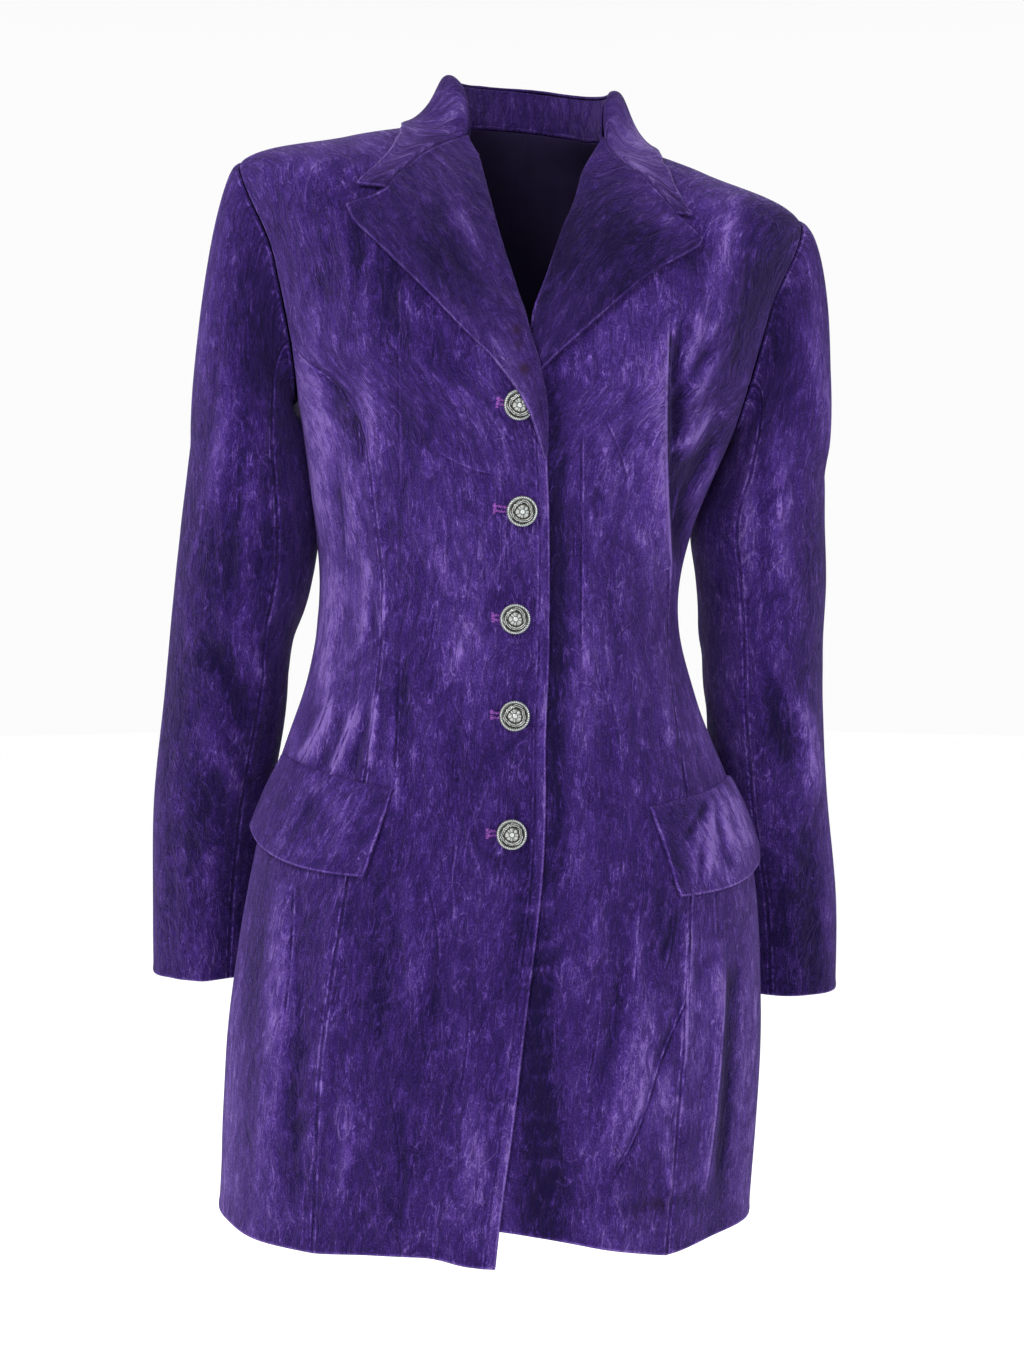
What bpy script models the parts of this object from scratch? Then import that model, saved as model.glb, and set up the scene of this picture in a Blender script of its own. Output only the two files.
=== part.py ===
"""Fitted velvet blazer in its worn shape: hollow body, sleeves, lapels, collar, flaps and buttons.

Metres, +Z up, +X towards the wearer's left, -Y out of the front.  The origin is the middle of
the neck at the height of the shoulder line, where the garment hangs on its wearer.
"""
import math

import bpy
import numpy as np

for old in list(bpy.data.objects):
    bpy.data.objects.remove(old, do_unlink=True)

# ---------------------------------------------------------------- driving sizes (metres)
WALL = 0.0020          # cloth thickness
GAP = 0.0003           # air left between two pieces that touch
BUTTON_R = 0.0115      # button radius
BUTTON_H = 0.0064      # button height over the cloth, with its shank
SHOULDER_A = 93.0      # where the shoulder seam runs, in degrees from centre front

# Rings of the body, from the top of the collar to the hem.  z_front, z_side and z_back are the
# ring's heights at centre front, at the sides and at centre back; half_w is half its width,
# d_front and d_back its depths before and behind the middle, cx and cy the middle, n how square
# it is (2 = ellipse) and tilt the drop per metre towards the wearer's left.
STATION_NAMES = ["collar top", "neck seam", "mid shoulder", "shoulder tip", "upper chest",
                 "armpit", "under bust", "waist", "high hip", "hip", "thigh", "hem"]
STATIONS = np.array([
    # z_front z_side z_back half_w d_front d_back   cx      cy     n    tilt
    [-0.022, 0.034, 0.042, 0.0600, 0.050, 0.058, -0.0045, 0.000, 2.0, 0.089],
    [-0.060, 0.002, 0.010, 0.0680, 0.062, 0.060, -0.0050, 0.000, 2.0, 0.089],
    [-0.085, -0.020, -0.021, 0.1380, 0.082, 0.078, -0.0080, 0.000, 2.1, 0.089],
    [-0.118, -0.050, -0.060, 0.2165, 0.104, 0.094, -0.0120, 0.002, 2.2, 0.089],
    [-0.165, -0.120, -0.130, 0.1950, 0.121, 0.106, -0.0130, 0.002, 2.3, 0.089],
    [-0.213, -0.207, -0.207, 0.1710, 0.128, 0.108, -0.0160, 0.002, 2.2, 0.085],
    [-0.290, -0.290, -0.290, 0.1480, 0.119, 0.100, -0.0270, 0.000, 2.1, 0.080],
    [-0.360, -0.360, -0.360, 0.1385, 0.108, 0.094, -0.0290, 0.000, 2.1, 0.070],
    [-0.430, -0.430, -0.430, 0.1520, 0.117, 0.108, -0.0265, 0.002, 2.1, 0.063],
    [-0.540, -0.540, -0.540, 0.1905, 0.130, 0.132, -0.0235, 0.004, 2.2, 0.050],
    [-0.680, -0.680, -0.680, 0.2085, 0.138, 0.144, -0.0310, 0.004, 2.2, 0.030],
    [-0.845, -0.838, -0.842, 0.2085, 0.144, 0.150, -0.0405, 0.004, 2.2, 0.000],
])
HEM_RING = 11.0


def spline(rows, t):
    """Smooth curve through evenly numbered rows, read at t (0 = first row)."""
    rows = np.asarray(rows, float)
    t = np.asarray(t, float)
    last = len(rows) - 1
    ext = np.vstack([2 * rows[0] - rows[1], rows, 2 * rows[-1] - rows[-2]])
    i = np.clip(np.floor(t).astype(int), 0, last - 1)
    f = (t - i)[..., None]
    p0, p1, p2, p3 = ext[i], ext[i + 1], ext[i + 2], ext[i + 3]
    m1, m2 = (p2 - p0) / 2, (p3 - p1) / 2
    h = ((2 * f ** 3 - 3 * f ** 2 + 1) * p1 + (f ** 3 - 2 * f ** 2 + f) * m1
         + (-2 * f ** 3 + 3 * f ** 2) * p2 + (f ** 3 - f ** 2) * m2)
    return h


def body_base(a, t):
    """Point of the body's middle surface; a in degrees from centre front, t in rings."""
    a, t = np.broadcast_arrays(np.asarray(a, float), np.asarray(t, float))
    zf, zs, zb, hw, df, db, cx, cy, n, tilt = np.moveaxis(spline(STATIONS, t), -1, 0)
    s, c = np.sin(np.radians(a)), np.cos(np.radians(a))
    d = np.where(c >= 0, df, db)
    r = (np.abs(s / hw) ** n + np.abs(c / d) ** n) ** (-1 / n)
    z = zs + (np.where(c >= 0, zf, zb) - zs) * c * c
    x, y = r * s, -r * c
    return np.stack([cx + x, cy + y, z - tilt * x], -1)


# Soft folds that run down the cloth: a ridge (or, with a minus, a trough) from one point to
# another, as wide as width_deg to each side.
FOLDS = np.array([
    # a_top  t_top  a_low  t_low  width_deg height
    [41.0, 4.1, 56.0, 6.6, 8.0, 0.0075],
    [58.0, 4.5, 72.0, 6.6, 7.5, -0.0055],
    [-58.0, 4.7, -66.0, 6.0, 8.0, -0.0025],
    [44.0, 8.9, 28.0, 11.4, 8.0, 0.0040],
    [64.0, 9.2, 61.0, 11.4, 8.0, -0.0045],
    [80.0, 9.0, 78.0, 11.4, 8.0, 0.0030],
    [-62.0, 9.0, -66.0, 11.4, 8.0, 0.0045],
    [-40.0, 9.4, -38.0, 11.4, 9.0, -0.0030],
    [-84.0, 9.2, -86.0, 11.4, 8.0, 0.0030],
    [112.0, 8.8, 116.0, 11.4, 9.0, 0.0045],
    [134.0, 9.0, 134.0, 11.4, 8.0, -0.0040],
    [156.0, 8.9, 158.0, 11.4, 9.0, 0.0045],
    [-110.0, 9.0, -112.0, 11.4, 9.0, 0.0045],
    [-133.0, 8.9, -131.0, 11.4, 8.0, -0.0040],
    [-157.0, 9.1, -160.0, 11.4, 9.0, 0.0040],
])


def fold_height(a, t):
    """How far the folds lift the cloth at (a, t)."""
    a, t = np.broadcast_arrays(np.asarray(a, float), np.asarray(t, float))
    out = np.zeros(a.shape)
    for a0, t0, a1, t1, width, height in FOLDS:
        k = np.clip((t - t0) / (t1 - t0), 0, 1)
        if t1 > HEM_RING:          # a skirt fold grows down to the hem
            ends = np.clip((t - t0) / 2.0, 0, 1)
        else:                      # a bodice fold fades at both ends
            ends = np.clip(t - t0, 0, 1) * np.clip((t1 - t) / 0.8, 0, 1)
        away = (a - (a0 + (a1 - a0) * k) + 180) % 360 - 180
        out = out + height * ends * ends * (3 - 2 * ends) * np.exp(-(away / width) ** 2)
    return out


def unit(v):
    """Each vector at length 1."""
    return v / np.maximum(np.linalg.norm(v, axis=-1, keepdims=True), 1e-12)


def outward(surface, a, t):
    """Unit normal of a surface(a, t), pointing away from the body."""
    pa = surface(a + 0.2, t) - surface(a - 0.2, t)
    pt = surface(a, t + 0.01) - surface(a, t - 0.01)
    return unit(np.cross(pt, pa))


def folded(a, t):
    """Middle surface of the body with its folds."""
    return body_base(a, t) + fold_height(a, t)[..., None] * outward(body_base, a, t)


def body(a, t, h=0.0):
    """The folded body surface, moved out by h."""
    a, t = np.broadcast_arrays(np.asarray(a, float), np.asarray(t, float))
    h = np.broadcast_to(np.asarray(h, float), a.shape)
    return folded(a, t) + h[..., None] * outward(folded, a, t)


# ---------------------------------------------------------------- seams and edges in (a, t)
# Armhole, once round: phi is 0 at the shoulder, 90 in front, 180 under the arm, 270 behind.
ARMHOLE = np.array([
    # phi     a      t
    [0.0, SHOULDER_A, 2.86],
    [30.0, 82.5, 3.10],
    [60.0, 77.5, 3.62],
    [90.0, 77.0, 4.12],
    [120.0, 78.5, 4.66],
    [150.0, 82.5, 5.02],
    [180.0, 92.0, 5.16],
    [210.0, 103.0, 5.00],
    [240.0, 109.5, 4.55],
    [270.0, 111.0, 4.02],
    [300.0, 109.0, 3.52],
    [330.0, 103.5, 3.06],
])
PHI_FRONT = 120.0      # where the front princess seam and the sleeve's front seam start
PHI_BACK = 240.0       # where the back princess seam and the sleeve's elbow seam start

# Seams of the panels, hem upward; a is for the wearer's left half and turns round for the right.
# The two front seams differ: the left one swings out at the waist, under its bust fold.
RIGHT_FRONT_SEAM = [(50.5, 11.0), (51.5, 10.2), (50.0, 9.4), (48.5, 8.5), (48.5, 7.6), (48.5, 6.8),
                    (49.0, 6.0), (52.0, 5.4), (60.0, 5.0), (70.0, 4.82), (78.5, 4.66)]
LEFT_FRONT_SEAM = [(47.0, 11.0), (49.0, 10.2), (50.5, 9.4), (56.0, 8.5), (64.0, 7.6), (68.5, 6.8),
                   (64.0, 6.0), (59.0, 5.4), (62.0, 4.98), (70.0, 4.80), (78.5, 4.66)]
SIDE_SEAM = [(91.0, 11.0), (91.0, 9.4), (91.0, 8.0), (91.5, 6.5), (92.0, 5.16)]
BACK_SEAM = [(136.0, 11.0), (137.0, 9.4), (139.0, 8.0), (139.0, 7.0), (134.0, 5.9),
             (123.0, 5.05), (109.5, 4.55)]
CENTRE_BACK = [(180.0, 11.0), (180.0, 8.0), (180.0, 5.2), (180.0, 4.6)]

# Front edges, hem upward to where the roll line starts, and on along the roll line to the neck.
RIGHT_EDGE = [(-1.5, 11.0), (-0.3, 10.7), (2.0, 10.3), (4.3, 9.75), (6.4, 9.26), (7.8, 8.8),
              (9.5, 8.3), (12.5, 7.7), (14.2, 7.2), (14.0, 6.62), (11.2, 5.96), (7.6, 5.5),
              (4.6, 5.0), (2.6, 4.7)]
RIGHT_ROLL = [(2.6, 4.7), (0.6, 4.32), (-2.3, 3.92), (-5.0, 3.50), (-8.4, 3.06), (-15.8, 2.42),
              (-25.5, 1.72), (-40.0, 1.06)]
LEFT_EDGE = [(-10.0, 10.83), (-8.0, 9.6), (-6.0, 8.6), (-7.0, 7.6), (-8.0, 6.6), (-8.0, 5.9),
             (-7.5, 5.4), (-6.5, 5.0), (-5.4, 4.75)]
LEFT_ROLL = [(-5.4, 4.75), (-4.0, 4.36), (-2.0, 3.92), (-0.4, 3.55), (5.2, 2.95), (10.0, 2.3),
             (18.0, 1.60), (38.0, 1.02)]
# Hems, from the front edge to the front princess seam.
RIGHT_HEM = [(-1.5, 11.0), (-9.0, 10.99), (-20.0, 10.96), (-34.0, 10.97), (-50.5, 11.0)]
LEFT_HEM = [(-10.0, 10.83), (0.0, 10.84), (15.0, 10.89), (31.0, 10.96), (47.0, 11.05)]


def trace(rows, n):
    """n + 1 points evenly spaced along a smooth curve through (a, t) rows."""
    rows = np.asarray(rows, float)
    q = spline(rows, np.linspace(0, len(rows) - 1, 40 * len(rows)))
    p = body_base(q[:, 0], q[:, 1])
    d = np.concatenate([[0], np.cumsum(np.linalg.norm(np.diff(p, axis=0), axis=1))])
    want = np.linspace(0, d[-1], n + 1)
    return np.stack([np.interp(want, d, q[:, 0]), np.interp(want, d, q[:, 1])], -1)


def armhole(phi):
    """(a, t) of the wearer's left armhole at phi."""
    wrapped = np.vstack([ARMHOLE[-1:], ARMHOLE, ARMHOLE[:2]])[:, 1:]
    return spline(wrapped, (np.asarray(phi, float) % 360) / 30.0 + 1)


def turned(rows, side):
    """(a, t) rows for the wearer's left (+1) or right (-1) half."""
    return np.asarray(rows, float) * np.array([side, 1.0])


def coons(left, right, low, high):
    """(a, t) grid between four edges; left and right run upward, low and high run left to right."""
    rows, cols = len(left), len(low)
    v, u = np.linspace(0, 1, rows)[:, None, None], np.linspace(0, 1, cols)[None, :, None]
    corner = ((1 - u) * (1 - v) * low[0] + u * (1 - v) * low[-1]
              + (1 - u) * v * high[0] + u * v * high[-1])
    across = (1 - u) * left[:, None] + u * right[:, None]
    along = (1 - v) * low[None] + v * high[None]
    return across + along - corner


def two_patches(left, right, low, high, split):
    """As coons, in two patches that meet on a straight line at row number split."""
    share = np.linspace(0, 1, len(low))[:, None]
    middle = (1 - share) * left[split] + share * right[split]
    lower = coons(left[:split + 1], right[:split + 1], low, middle)
    return np.vstack([lower, coons(left[split:], right[split:], middle, high)[1:]])


def smooth(x):
    """A soft step from 0 to 1."""
    x = np.clip(x, 0, 1)
    return x * x * (3 - 2 * x)


def right_lift(a, t):
    """How far the right front stands off so that it laps over the left front and its lapel."""
    near_edge = smooth((a + 24.0) / 12.0)
    lapel = smooth((5.35 - t) / 0.45) * smooth((a + 22.0) / 12.0) * smooth((t - 3.3) / 0.5)
    return near_edge * 0.0032 * smooth((t - 3.2) / 0.6) + 0.0036 * lapel


# ---------------------------------------------------------------- sleeves
# Rings of the sleeves from just under the arm to the cuff: height, middle and half widths.
RIGHT_ARM = np.array([
    # z       x        y      rx      ry
    [-0.238, -0.2262, 0.012, 0.0408, 0.0570],
    [-0.290, -0.2262, 0.017, 0.0483, 0.0580],
    [-0.335, -0.2285, 0.023, 0.0515, 0.0575],
    [-0.390, -0.2372, 0.032, 0.0495, 0.0555],
    [-0.440, -0.2425, 0.043, 0.0505, 0.0535],
    [-0.520, -0.2565, 0.062, 0.0465, 0.0480],
    [-0.600, -0.2640, 0.080, 0.0430, 0.0430],
    [-0.670, -0.2680, 0.092, 0.0410, 0.0395],
])
LEFT_ARM = np.array([
    [-0.262, 0.1845, 0.012, 0.0440, 0.0570],
    [-0.300, 0.1790, 0.017, 0.0520, 0.0580],
    [-0.345, 0.1835, 0.024, 0.0510, 0.0575],
    [-0.400, 0.1872, 0.033, 0.0475, 0.0555],
    [-0.450, 0.1910, 0.043, 0.0465, 0.0530],
    [-0.530, 0.2020, 0.062, 0.0455, 0.0480],
    [-0.615, 0.2175, 0.080, 0.0430, 0.0430],
    [-0.694, 0.2235, 0.092, 0.0410, 0.0395],
])
CAP = 0.30             # share of the sleeve's length, along s, that the cap takes


def sleeve(side, phi, s):
    """Middle surface of a sleeve: phi as on the armhole, s from the armhole (0) to the cuff (1)."""
    phi, s = np.broadcast_arrays(np.asarray(phi, float), np.asarray(s, float))
    arm = RIGHT_ARM if side < 0 else LEFT_ARM
    u = np.clip((s - CAP) / (1 - CAP), 0, None) * (len(arm) - 1)
    z, x, y, rx, ry = np.moveaxis(spline(arm, u), -1, 0)
    co, si = np.cos(np.radians(phi)), np.sin(np.radians(phi))
    tube = np.stack([x + side * rx * co, y - ry * si, z], -1)
    # the cap: a curve from the armhole that leaves sideways and ends straight down
    at = armhole(phi)
    a, t = at[..., 0] * side, at[..., 1]
    start, n = body(a, t), outward(folded, a, t)
    nxt, prv = armhole(phi + 1.0), armhole(phi - 1.0)
    along = unit(body(nxt[..., 0] * side, nxt[..., 1]) - body(prv[..., 0] * side, prv[..., 1]))
    into = unit(np.cross(along, n)) * -side
    low = smooth((-co - 0.15) / 0.85)[..., None]
    out = np.array([side * 1.0, 0.0, 0.0])
    lead = unit(into * (0.45 + 0.45 * co[..., None]) + out + n * 0.15
                + np.array([0, 0, 0.45]) * np.clip(co, 0, 1)[..., None] ** 2)
    facing = np.clip((lead * into).sum(-1, keepdims=True), 0, 1)
    start = start + lead * GAP * 3.0 + (1 - facing) * (WALL / 2 + 2 * GAP) * n
    reach = (0.048 if side < 0 else 0.078) * (1 - low) + 0.020 * low
    down = unit(arm[1, [1, 2, 0]] - arm[0, [1, 2, 0]])
    f = np.clip(s / CAP, 0, 1)[..., None]
    first = np.stack([arm[0, 1] + side * arm[0, 3] * co, arm[0, 2] - arm[0, 4] * si,
                      np.full(co.shape, arm[0, 0])], -1)
    fall = np.linalg.norm(first - start, axis=-1, keepdims=True)
    cap = ((2 * f ** 3 - 3 * f ** 2 + 1) * start + (f ** 3 - 2 * f ** 2 + f) * lead * reach
           + (-2 * f ** 3 + 3 * f ** 2) * first + (f ** 3 - f ** 2) * down * fall * 0.9)
    return np.where((s < CAP)[..., None], cap, tube)


def sleeve_outward(side, phi, s):
    """Unit normal of a sleeve, pointing away from the arm."""
    pa = sleeve(side, phi + 0.5, s) - sleeve(side, phi - 0.5, s)
    low, high = np.maximum(s - 0.004, 0.0), np.minimum(s + 0.004, 1.0)
    pt = sleeve(side, phi, high) - sleeve(side, phi, low)
    return unit(np.cross(pa, pt)) * side


# ---------------------------------------------------------------- lapels, collar and flaps
# Rows run from the gorge (where lapel and collar meet) outward to the notch and the point.
RIGHT_GORGE = [(-54.0, 0.84), (-57.0, 1.20), (-54.8, 1.84), (-53.2, 2.20), (-51.0, 2.78)]
LEFT_GORGE = [(57.0, 0.60), (57.0, 1.05), (54.8, 1.55), (52.8, 2.10), (51.0, 2.70)]
RIGHT_LAPEL_TOP = [(-51.0, 2.78), (-52.8, 2.98), (-56.6, 3.20)]
LEFT_LAPEL_TOP = [(51.0, 2.70), (52.2, 2.88), (54.0, 3.12)]
RIGHT_LAPEL_ROLL = [(-54.0, 0.84), (-39.5, 1.08), (-25.5, 1.74), (-15.8, 2.44), (-8.4, 3.08),
                    (-5.0, 3.52), (-2.3, 3.92), (0.6, 4.32), (3.0, 4.76), (5.6, 5.16)]
RIGHT_LAPEL_EDGE = [(-56.6, 3.20), (-53.5, 3.38), (-47.0, 3.54), (-33.5, 3.86), (-18.0, 4.32),
                    (-8.0, 4.74), (-2.2, 4.98), (1.8, 5.26)]
LEFT_LAPEL_ROLL = [(57.0, 0.60), (38.5, 0.72), (29.0, 0.98), (14.0, 1.86), (5.6, 2.93),
                   (0.6, 3.52), (-1.4, 3.90), (-2.6, 4.16)]
LEFT_LAPEL_EDGE = [(54.0, 3.12), (51.5, 3.24), (39.2, 3.40), (31.2, 3.55), (18.8, 3.86),
                   (9.2, 4.20), (1.8, 4.56), (-0.6, 4.66)]
COLLAR_FOLD = [(-54.0, 0.84), (-57.0, 0.40), (-64.0, 0.12), (-78.0, 0.04), (-100.0, 0.02),
               (-130.0, 0.02), (-180.0, 0.02), (-230.0, 0.02), (-260.0, 0.02), (-282.0, 0.02),
               (-296.0, 0.08), (-302.0, 0.28), (-303.0, 0.60)]
COLLAR_EDGE = [(-56.4, 2.93), (-57.2, 2.50), (-61.5, 2.05), (-67.5, 1.74), (-80.0, 1.53),
               (-105.0, 1.46), (-140.0, 1.50), (-180.0, 1.54), (-220.0, 1.50), (-255.0, 1.46),
               (-280.0, 1.52), (-293.0, 1.70), (-300.5, 2.10), (-304.5, 2.48), (-306.0, 2.80)]
RIGHT_COLLAR_END = [(-51.0, 2.78), (-53.5, 2.85), (-56.4, 2.93)]
LEFT_COLLAR_END = [(-309.0, 2.70), (-307.5, 2.75), (-306.0, 2.80)]
# Flap corners: inner top, inner bottom, outer bottom, outer top.
RIGHT_FLAP = [(-39.5, 8.66), (-45.0, 9.18), (-88.0, 9.05), (-81.0, 8.55)]
LEFT_FLAP = [(41.0, 8.70), (47.0, 9.24), (88.0, 9.06), (79.0, 8.56)]
# Buttons down the right front.
BUTTONS = [(-4.2, 5.02, 0.0), (1.8, 5.98, 0.0003), (0.9, 7.12, 0.0009), (-1.0, 8.10, 0.0005),
           (-3.4, 8.88, 0.0)]       # with how far each stands off the hollow of the waist
ON_TOP = WALL + 0.0009     # from the middle of one cloth to the middle of the one lying on it


def right_lapel_height(a, t):
    """Over the right front; it rides up over the first button's upper edge."""
    over = np.exp(-((a + 4.5) / 9.0) ** 2 - ((t - 5.02) / 0.30) ** 2)
    away = smooth((-a - 6.0) / 30.0)
    return right_lift(a, t) + ON_TOP + 0.0078 * over + 0.0015 * away


def left_lapel_height(a, t):
    """Over the left front; it stands off a little more towards its point."""
    return ON_TOP + 0.0015 * smooth((a - 10.0) / 30.0)


# ---------------------------------------------------------------- meshes
VELVET = (0.060, 0.020, 0.170)
COLLAR_VELVET = (0.055, 0.018, 0.150)
SILVER = (0.42, 0.41, 0.38)


def material(name, colour, roughness, metallic):
    """A plain finish of one colour."""
    mat = bpy.data.materials.new(name)
    mat.use_nodes = True
    shader = mat.node_tree.nodes["Principled BSDF"]
    shader.inputs["Base Color"].default_value = (*colour, 1.0)
    shader.inputs["Roughness"].default_value = roughness
    shader.inputs["Metallic"].default_value = metallic
    mat.diffuse_color = (*colour, 1.0)
    return mat


def add_object(name, verts, faces, colour=VELVET, roughness=0.85, metallic=0.0):
    """One named piece from its points and faces."""
    mesh = bpy.data.meshes.new(name)
    mesh.from_pydata([tuple(map(float, v)) for v in verts], [], faces)
    mesh.update()
    mesh.shade_smooth()
    mesh.set_sharp_from_angle(angle=math.radians(50))
    mesh.materials.append(material(name, colour, roughness, metallic))
    ob = bpy.data.objects.new(name, mesh)
    bpy.context.scene.collection.objects.link(ob)
    return ob


def set_back(points, normals, amount=GAP / 2):
    """Draw the rim of a grid of points in by a hair, so that two pieces never touch at a seam."""
    p = points.copy()
    sides = [(np.s_[0, :], np.s_[1, :]), (np.s_[-1, :], np.s_[-2, :]),
             (np.s_[:, 0], np.s_[:, 1]), (np.s_[:, -1], np.s_[:, -2])]
    for rim, inner in sides:
        line, step, n = points[rim], points[inner] - points[rim], normals[rim]
        run = unit(np.gradient(line, axis=0))
        across = unit(np.cross(run, n))
        across = across * np.sign((across * step).sum(-1, keepdims=True))
        p[rim] += across * amount
    return p


def cloth(name, points, normals, colour=VELVET, wall=WALL, seam=GAP / 2):
    """A closed wall round a grid of points; the grid's rows run up and its columns along."""
    rows, cols = points.shape[:2]
    points = set_back(points, normals, seam)
    verts = np.concatenate([(points + normals * wall / 2).reshape(-1, 3),
                            (points - normals * wall / 2).reshape(-1, 3)])
    inner = rows * cols
    at = lambda r, c: r * cols + c
    faces = []
    for r in range(rows - 1):
        for c in range(cols - 1):
            q = (at(r, c), at(r, c + 1), at(r + 1, c + 1), at(r + 1, c))
            faces.append(q)
            faces.append(tuple(inner + i for i in reversed(q)))
    rim = ([at(0, c) for c in range(cols)] + [at(r, cols - 1) for r in range(1, rows)]
           + [at(rows - 1, c) for c in range(cols - 2, -1, -1)]
           + [at(r, 0) for r in range(rows - 2, 0, -1)])
    for i, j in zip(rim, rim[1:] + rim[:1]):
        faces.append((j, i, inner + i, inner + j))
    # the grid may run either way round: keep the faces pointing out of the wall
    middle_face = faces[len(faces) // 4 * 2]
    tri = verts[list(middle_face[:3])]
    facing = np.cross(tri[1] - tri[0], tri[2] - tri[0])
    if np.dot(facing, normals.reshape(-1, 3)[middle_face[0] % inner]) < 0:
        faces = [tuple(reversed(f)) for f in faces]
    return add_object(name, verts, faces, colour)


def panel(name, grid, lift=None):
    """A piece of the body on a grid of (a, t)."""
    a, t = grid[..., 0], grid[..., 1]
    h = lift(a, t) if lift else 0.0
    surface = lambda q, w: body(q, w, lift(q, w) if lift else 0.0)
    return cloth(name, surface(a, t), outward(surface, a, t))


HEM_T = {"right": HEM_RING, "left": 11.05}  # how far each half hangs, in rings
LOW_ROWS, ARM_ROWS = 18, 8          # rows below the armhole and beside it
FRONT_COLS, SIDE_COLS, BACK_COLS = 9, 5, 8


def hem_between(word, a0, a1):
    """Height of the hem at two angles: level, and at 11 by the time it reaches centre back."""
    return [HEM_T[word] if a < 170.0 else HEM_RING for a in (a0, a1)]


def half_panels(side, word, edge, roll, hem, seam, lift):
    """Front, side front, side back and back of one half; grids run from hem to shoulder."""
    down_to = lambda rows: [(rows[0][0], HEM_T[word])] + rows[1:]
    front_seam = trace(turned(down_to(seam), side), LOW_ROWS)
    side_seam = trace(turned(down_to(SIDE_SEAM), side), LOW_ROWS)
    back_seam = trace(turned(down_to(BACK_SEAM), side), LOW_ROWS)
    hole = lambda lo, hi, n: turned(armhole(np.linspace(lo, hi, n + 1)), side)
    shoulder = turned([(SHOULDER_A, t) for t in (2.86, 2.4, 1.9, 1.45, 1.0)], side)

    # front: the edge, the roll line and the neck on one side, the seam and armhole on the other
    neck = trace([roll[-1], (side * 66.0, 1.0), (side * SHOULDER_A, 1.0)], 3)
    edge_line = np.vstack([trace(edge, LOW_ROWS), trace(roll, ARM_ROWS - 3)[1:], neck[1:]])
    arm_line = np.vstack([front_seam, hole(PHI_FRONT, 0.0, ARM_ROWS)[1:]])
    top = trace(shoulder[::-1], FRONT_COLS)
    low = trace(hem, FRONT_COLS)
    panel(word + "_front", two_patches(edge_line, arm_line, low, top, LOW_ROWS), lift)

    # side panels, which end in the armhole's lower half
    seam_a = [seam[0][0], SIDE_SEAM[0][0], BACK_SEAM[0][0], CENTRE_BACK[0][0]]
    hems = []
    for a0, a1, n in zip(seam_a, seam_a[1:], (SIDE_COLS, SIDE_COLS, BACK_COLS)):
        ends = np.linspace((a0, hem_between(word, a0, a1)[0]), (a1, hem_between(word, a0, a1)[1]), n + 1)
        hems.append(turned(ends, side))
    panel(word + "_side_front", coons(front_seam, side_seam, hems[0], hole(PHI_FRONT, 180.0, SIDE_COLS)))
    panel(word + "_side_back", coons(side_seam, back_seam, hems[1], hole(180.0, PHI_BACK, SIDE_COLS)))

    # back: its top edge runs along the shoulder and then round the back of the neck
    arm_line = np.vstack([back_seam, hole(PHI_BACK, 360.0, ARM_ROWS)[1:]])
    upper = turned([(180.0, t) for t in (4.6, 3.6, 2.2, 1.0)], side)
    centre = np.vstack([trace(turned(CENTRE_BACK, side), LOW_ROWS), trace(upper, ARM_ROWS)[1:]])
    nape = trace(turned([(a, 1.0) for a in (SHOULDER_A, 120.0, 150.0, 180.0)], side), 4)
    top = np.vstack([trace(shoulder, BACK_COLS - 4), nape[1:]])
    panel(word + "_back", two_patches(arm_line, centre, hems[2], top, LOW_ROWS))


half_panels(-1, "right", RIGHT_EDGE, RIGHT_ROLL, RIGHT_HEM, RIGHT_FRONT_SEAM, right_lift)
half_panels(1, "left", LEFT_EDGE, LEFT_ROLL, LEFT_HEM, LEFT_FRONT_SEAM, None)


# sleeves: the top sleeve runs over the shoulder side, the under sleeve inside
SLEEVE_S = np.concatenate([np.linspace(0.0, CAP, 6), np.linspace(CAP, 1.0, 11)[1:]])
SLEEVE_PARTS = (("top", PHI_BACK - 360.0, PHI_FRONT, 16), ("under", PHI_FRONT, PHI_BACK, 10))
for side, word in ((-1, "right"), (1, "left")):
    for part, lo, hi, n in SLEEVE_PARTS:
        phi, s = np.meshgrid(np.linspace(lo, hi, n + 1), SLEEVE_S)
        cloth("%s_%s_sleeve" % (word, part), sleeve(side, phi, s), sleeve_outward(side, phi, s))


# lapels: rows from the gorge down to where the lapel ends, columns from the roll line outward
GORGE_STEPS, END_STEPS = 5, 2


def lapel(name, gorge, top, roll, edge, height, rows=16):
    """A lapel between its four edges, lying height(a, t) over the body."""
    cols = GORGE_STEPS + END_STEPS
    low = trace([roll[-1], edge[-1]], cols)
    high = np.vstack([trace(gorge, GORGE_STEPS), trace(top, END_STEPS)[1:]])
    grid = coons(trace(roll, rows)[::-1], trace(edge, rows)[::-1], low, high)
    surface = lambda a, t: body(a, t, height(a, t))
    a, t = grid[..., 0], grid[..., 1]
    cloth(name, surface(a, t), outward(surface, a, t), COLLAR_VELVET)


lapel("right_lapel", RIGHT_GORGE, RIGHT_LAPEL_TOP, RIGHT_LAPEL_ROLL, RIGHT_LAPEL_EDGE, right_lapel_height)
lapel("left_lapel", LEFT_GORGE, LEFT_LAPEL_TOP, LEFT_LAPEL_ROLL, LEFT_LAPEL_EDGE, left_lapel_height)


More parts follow.
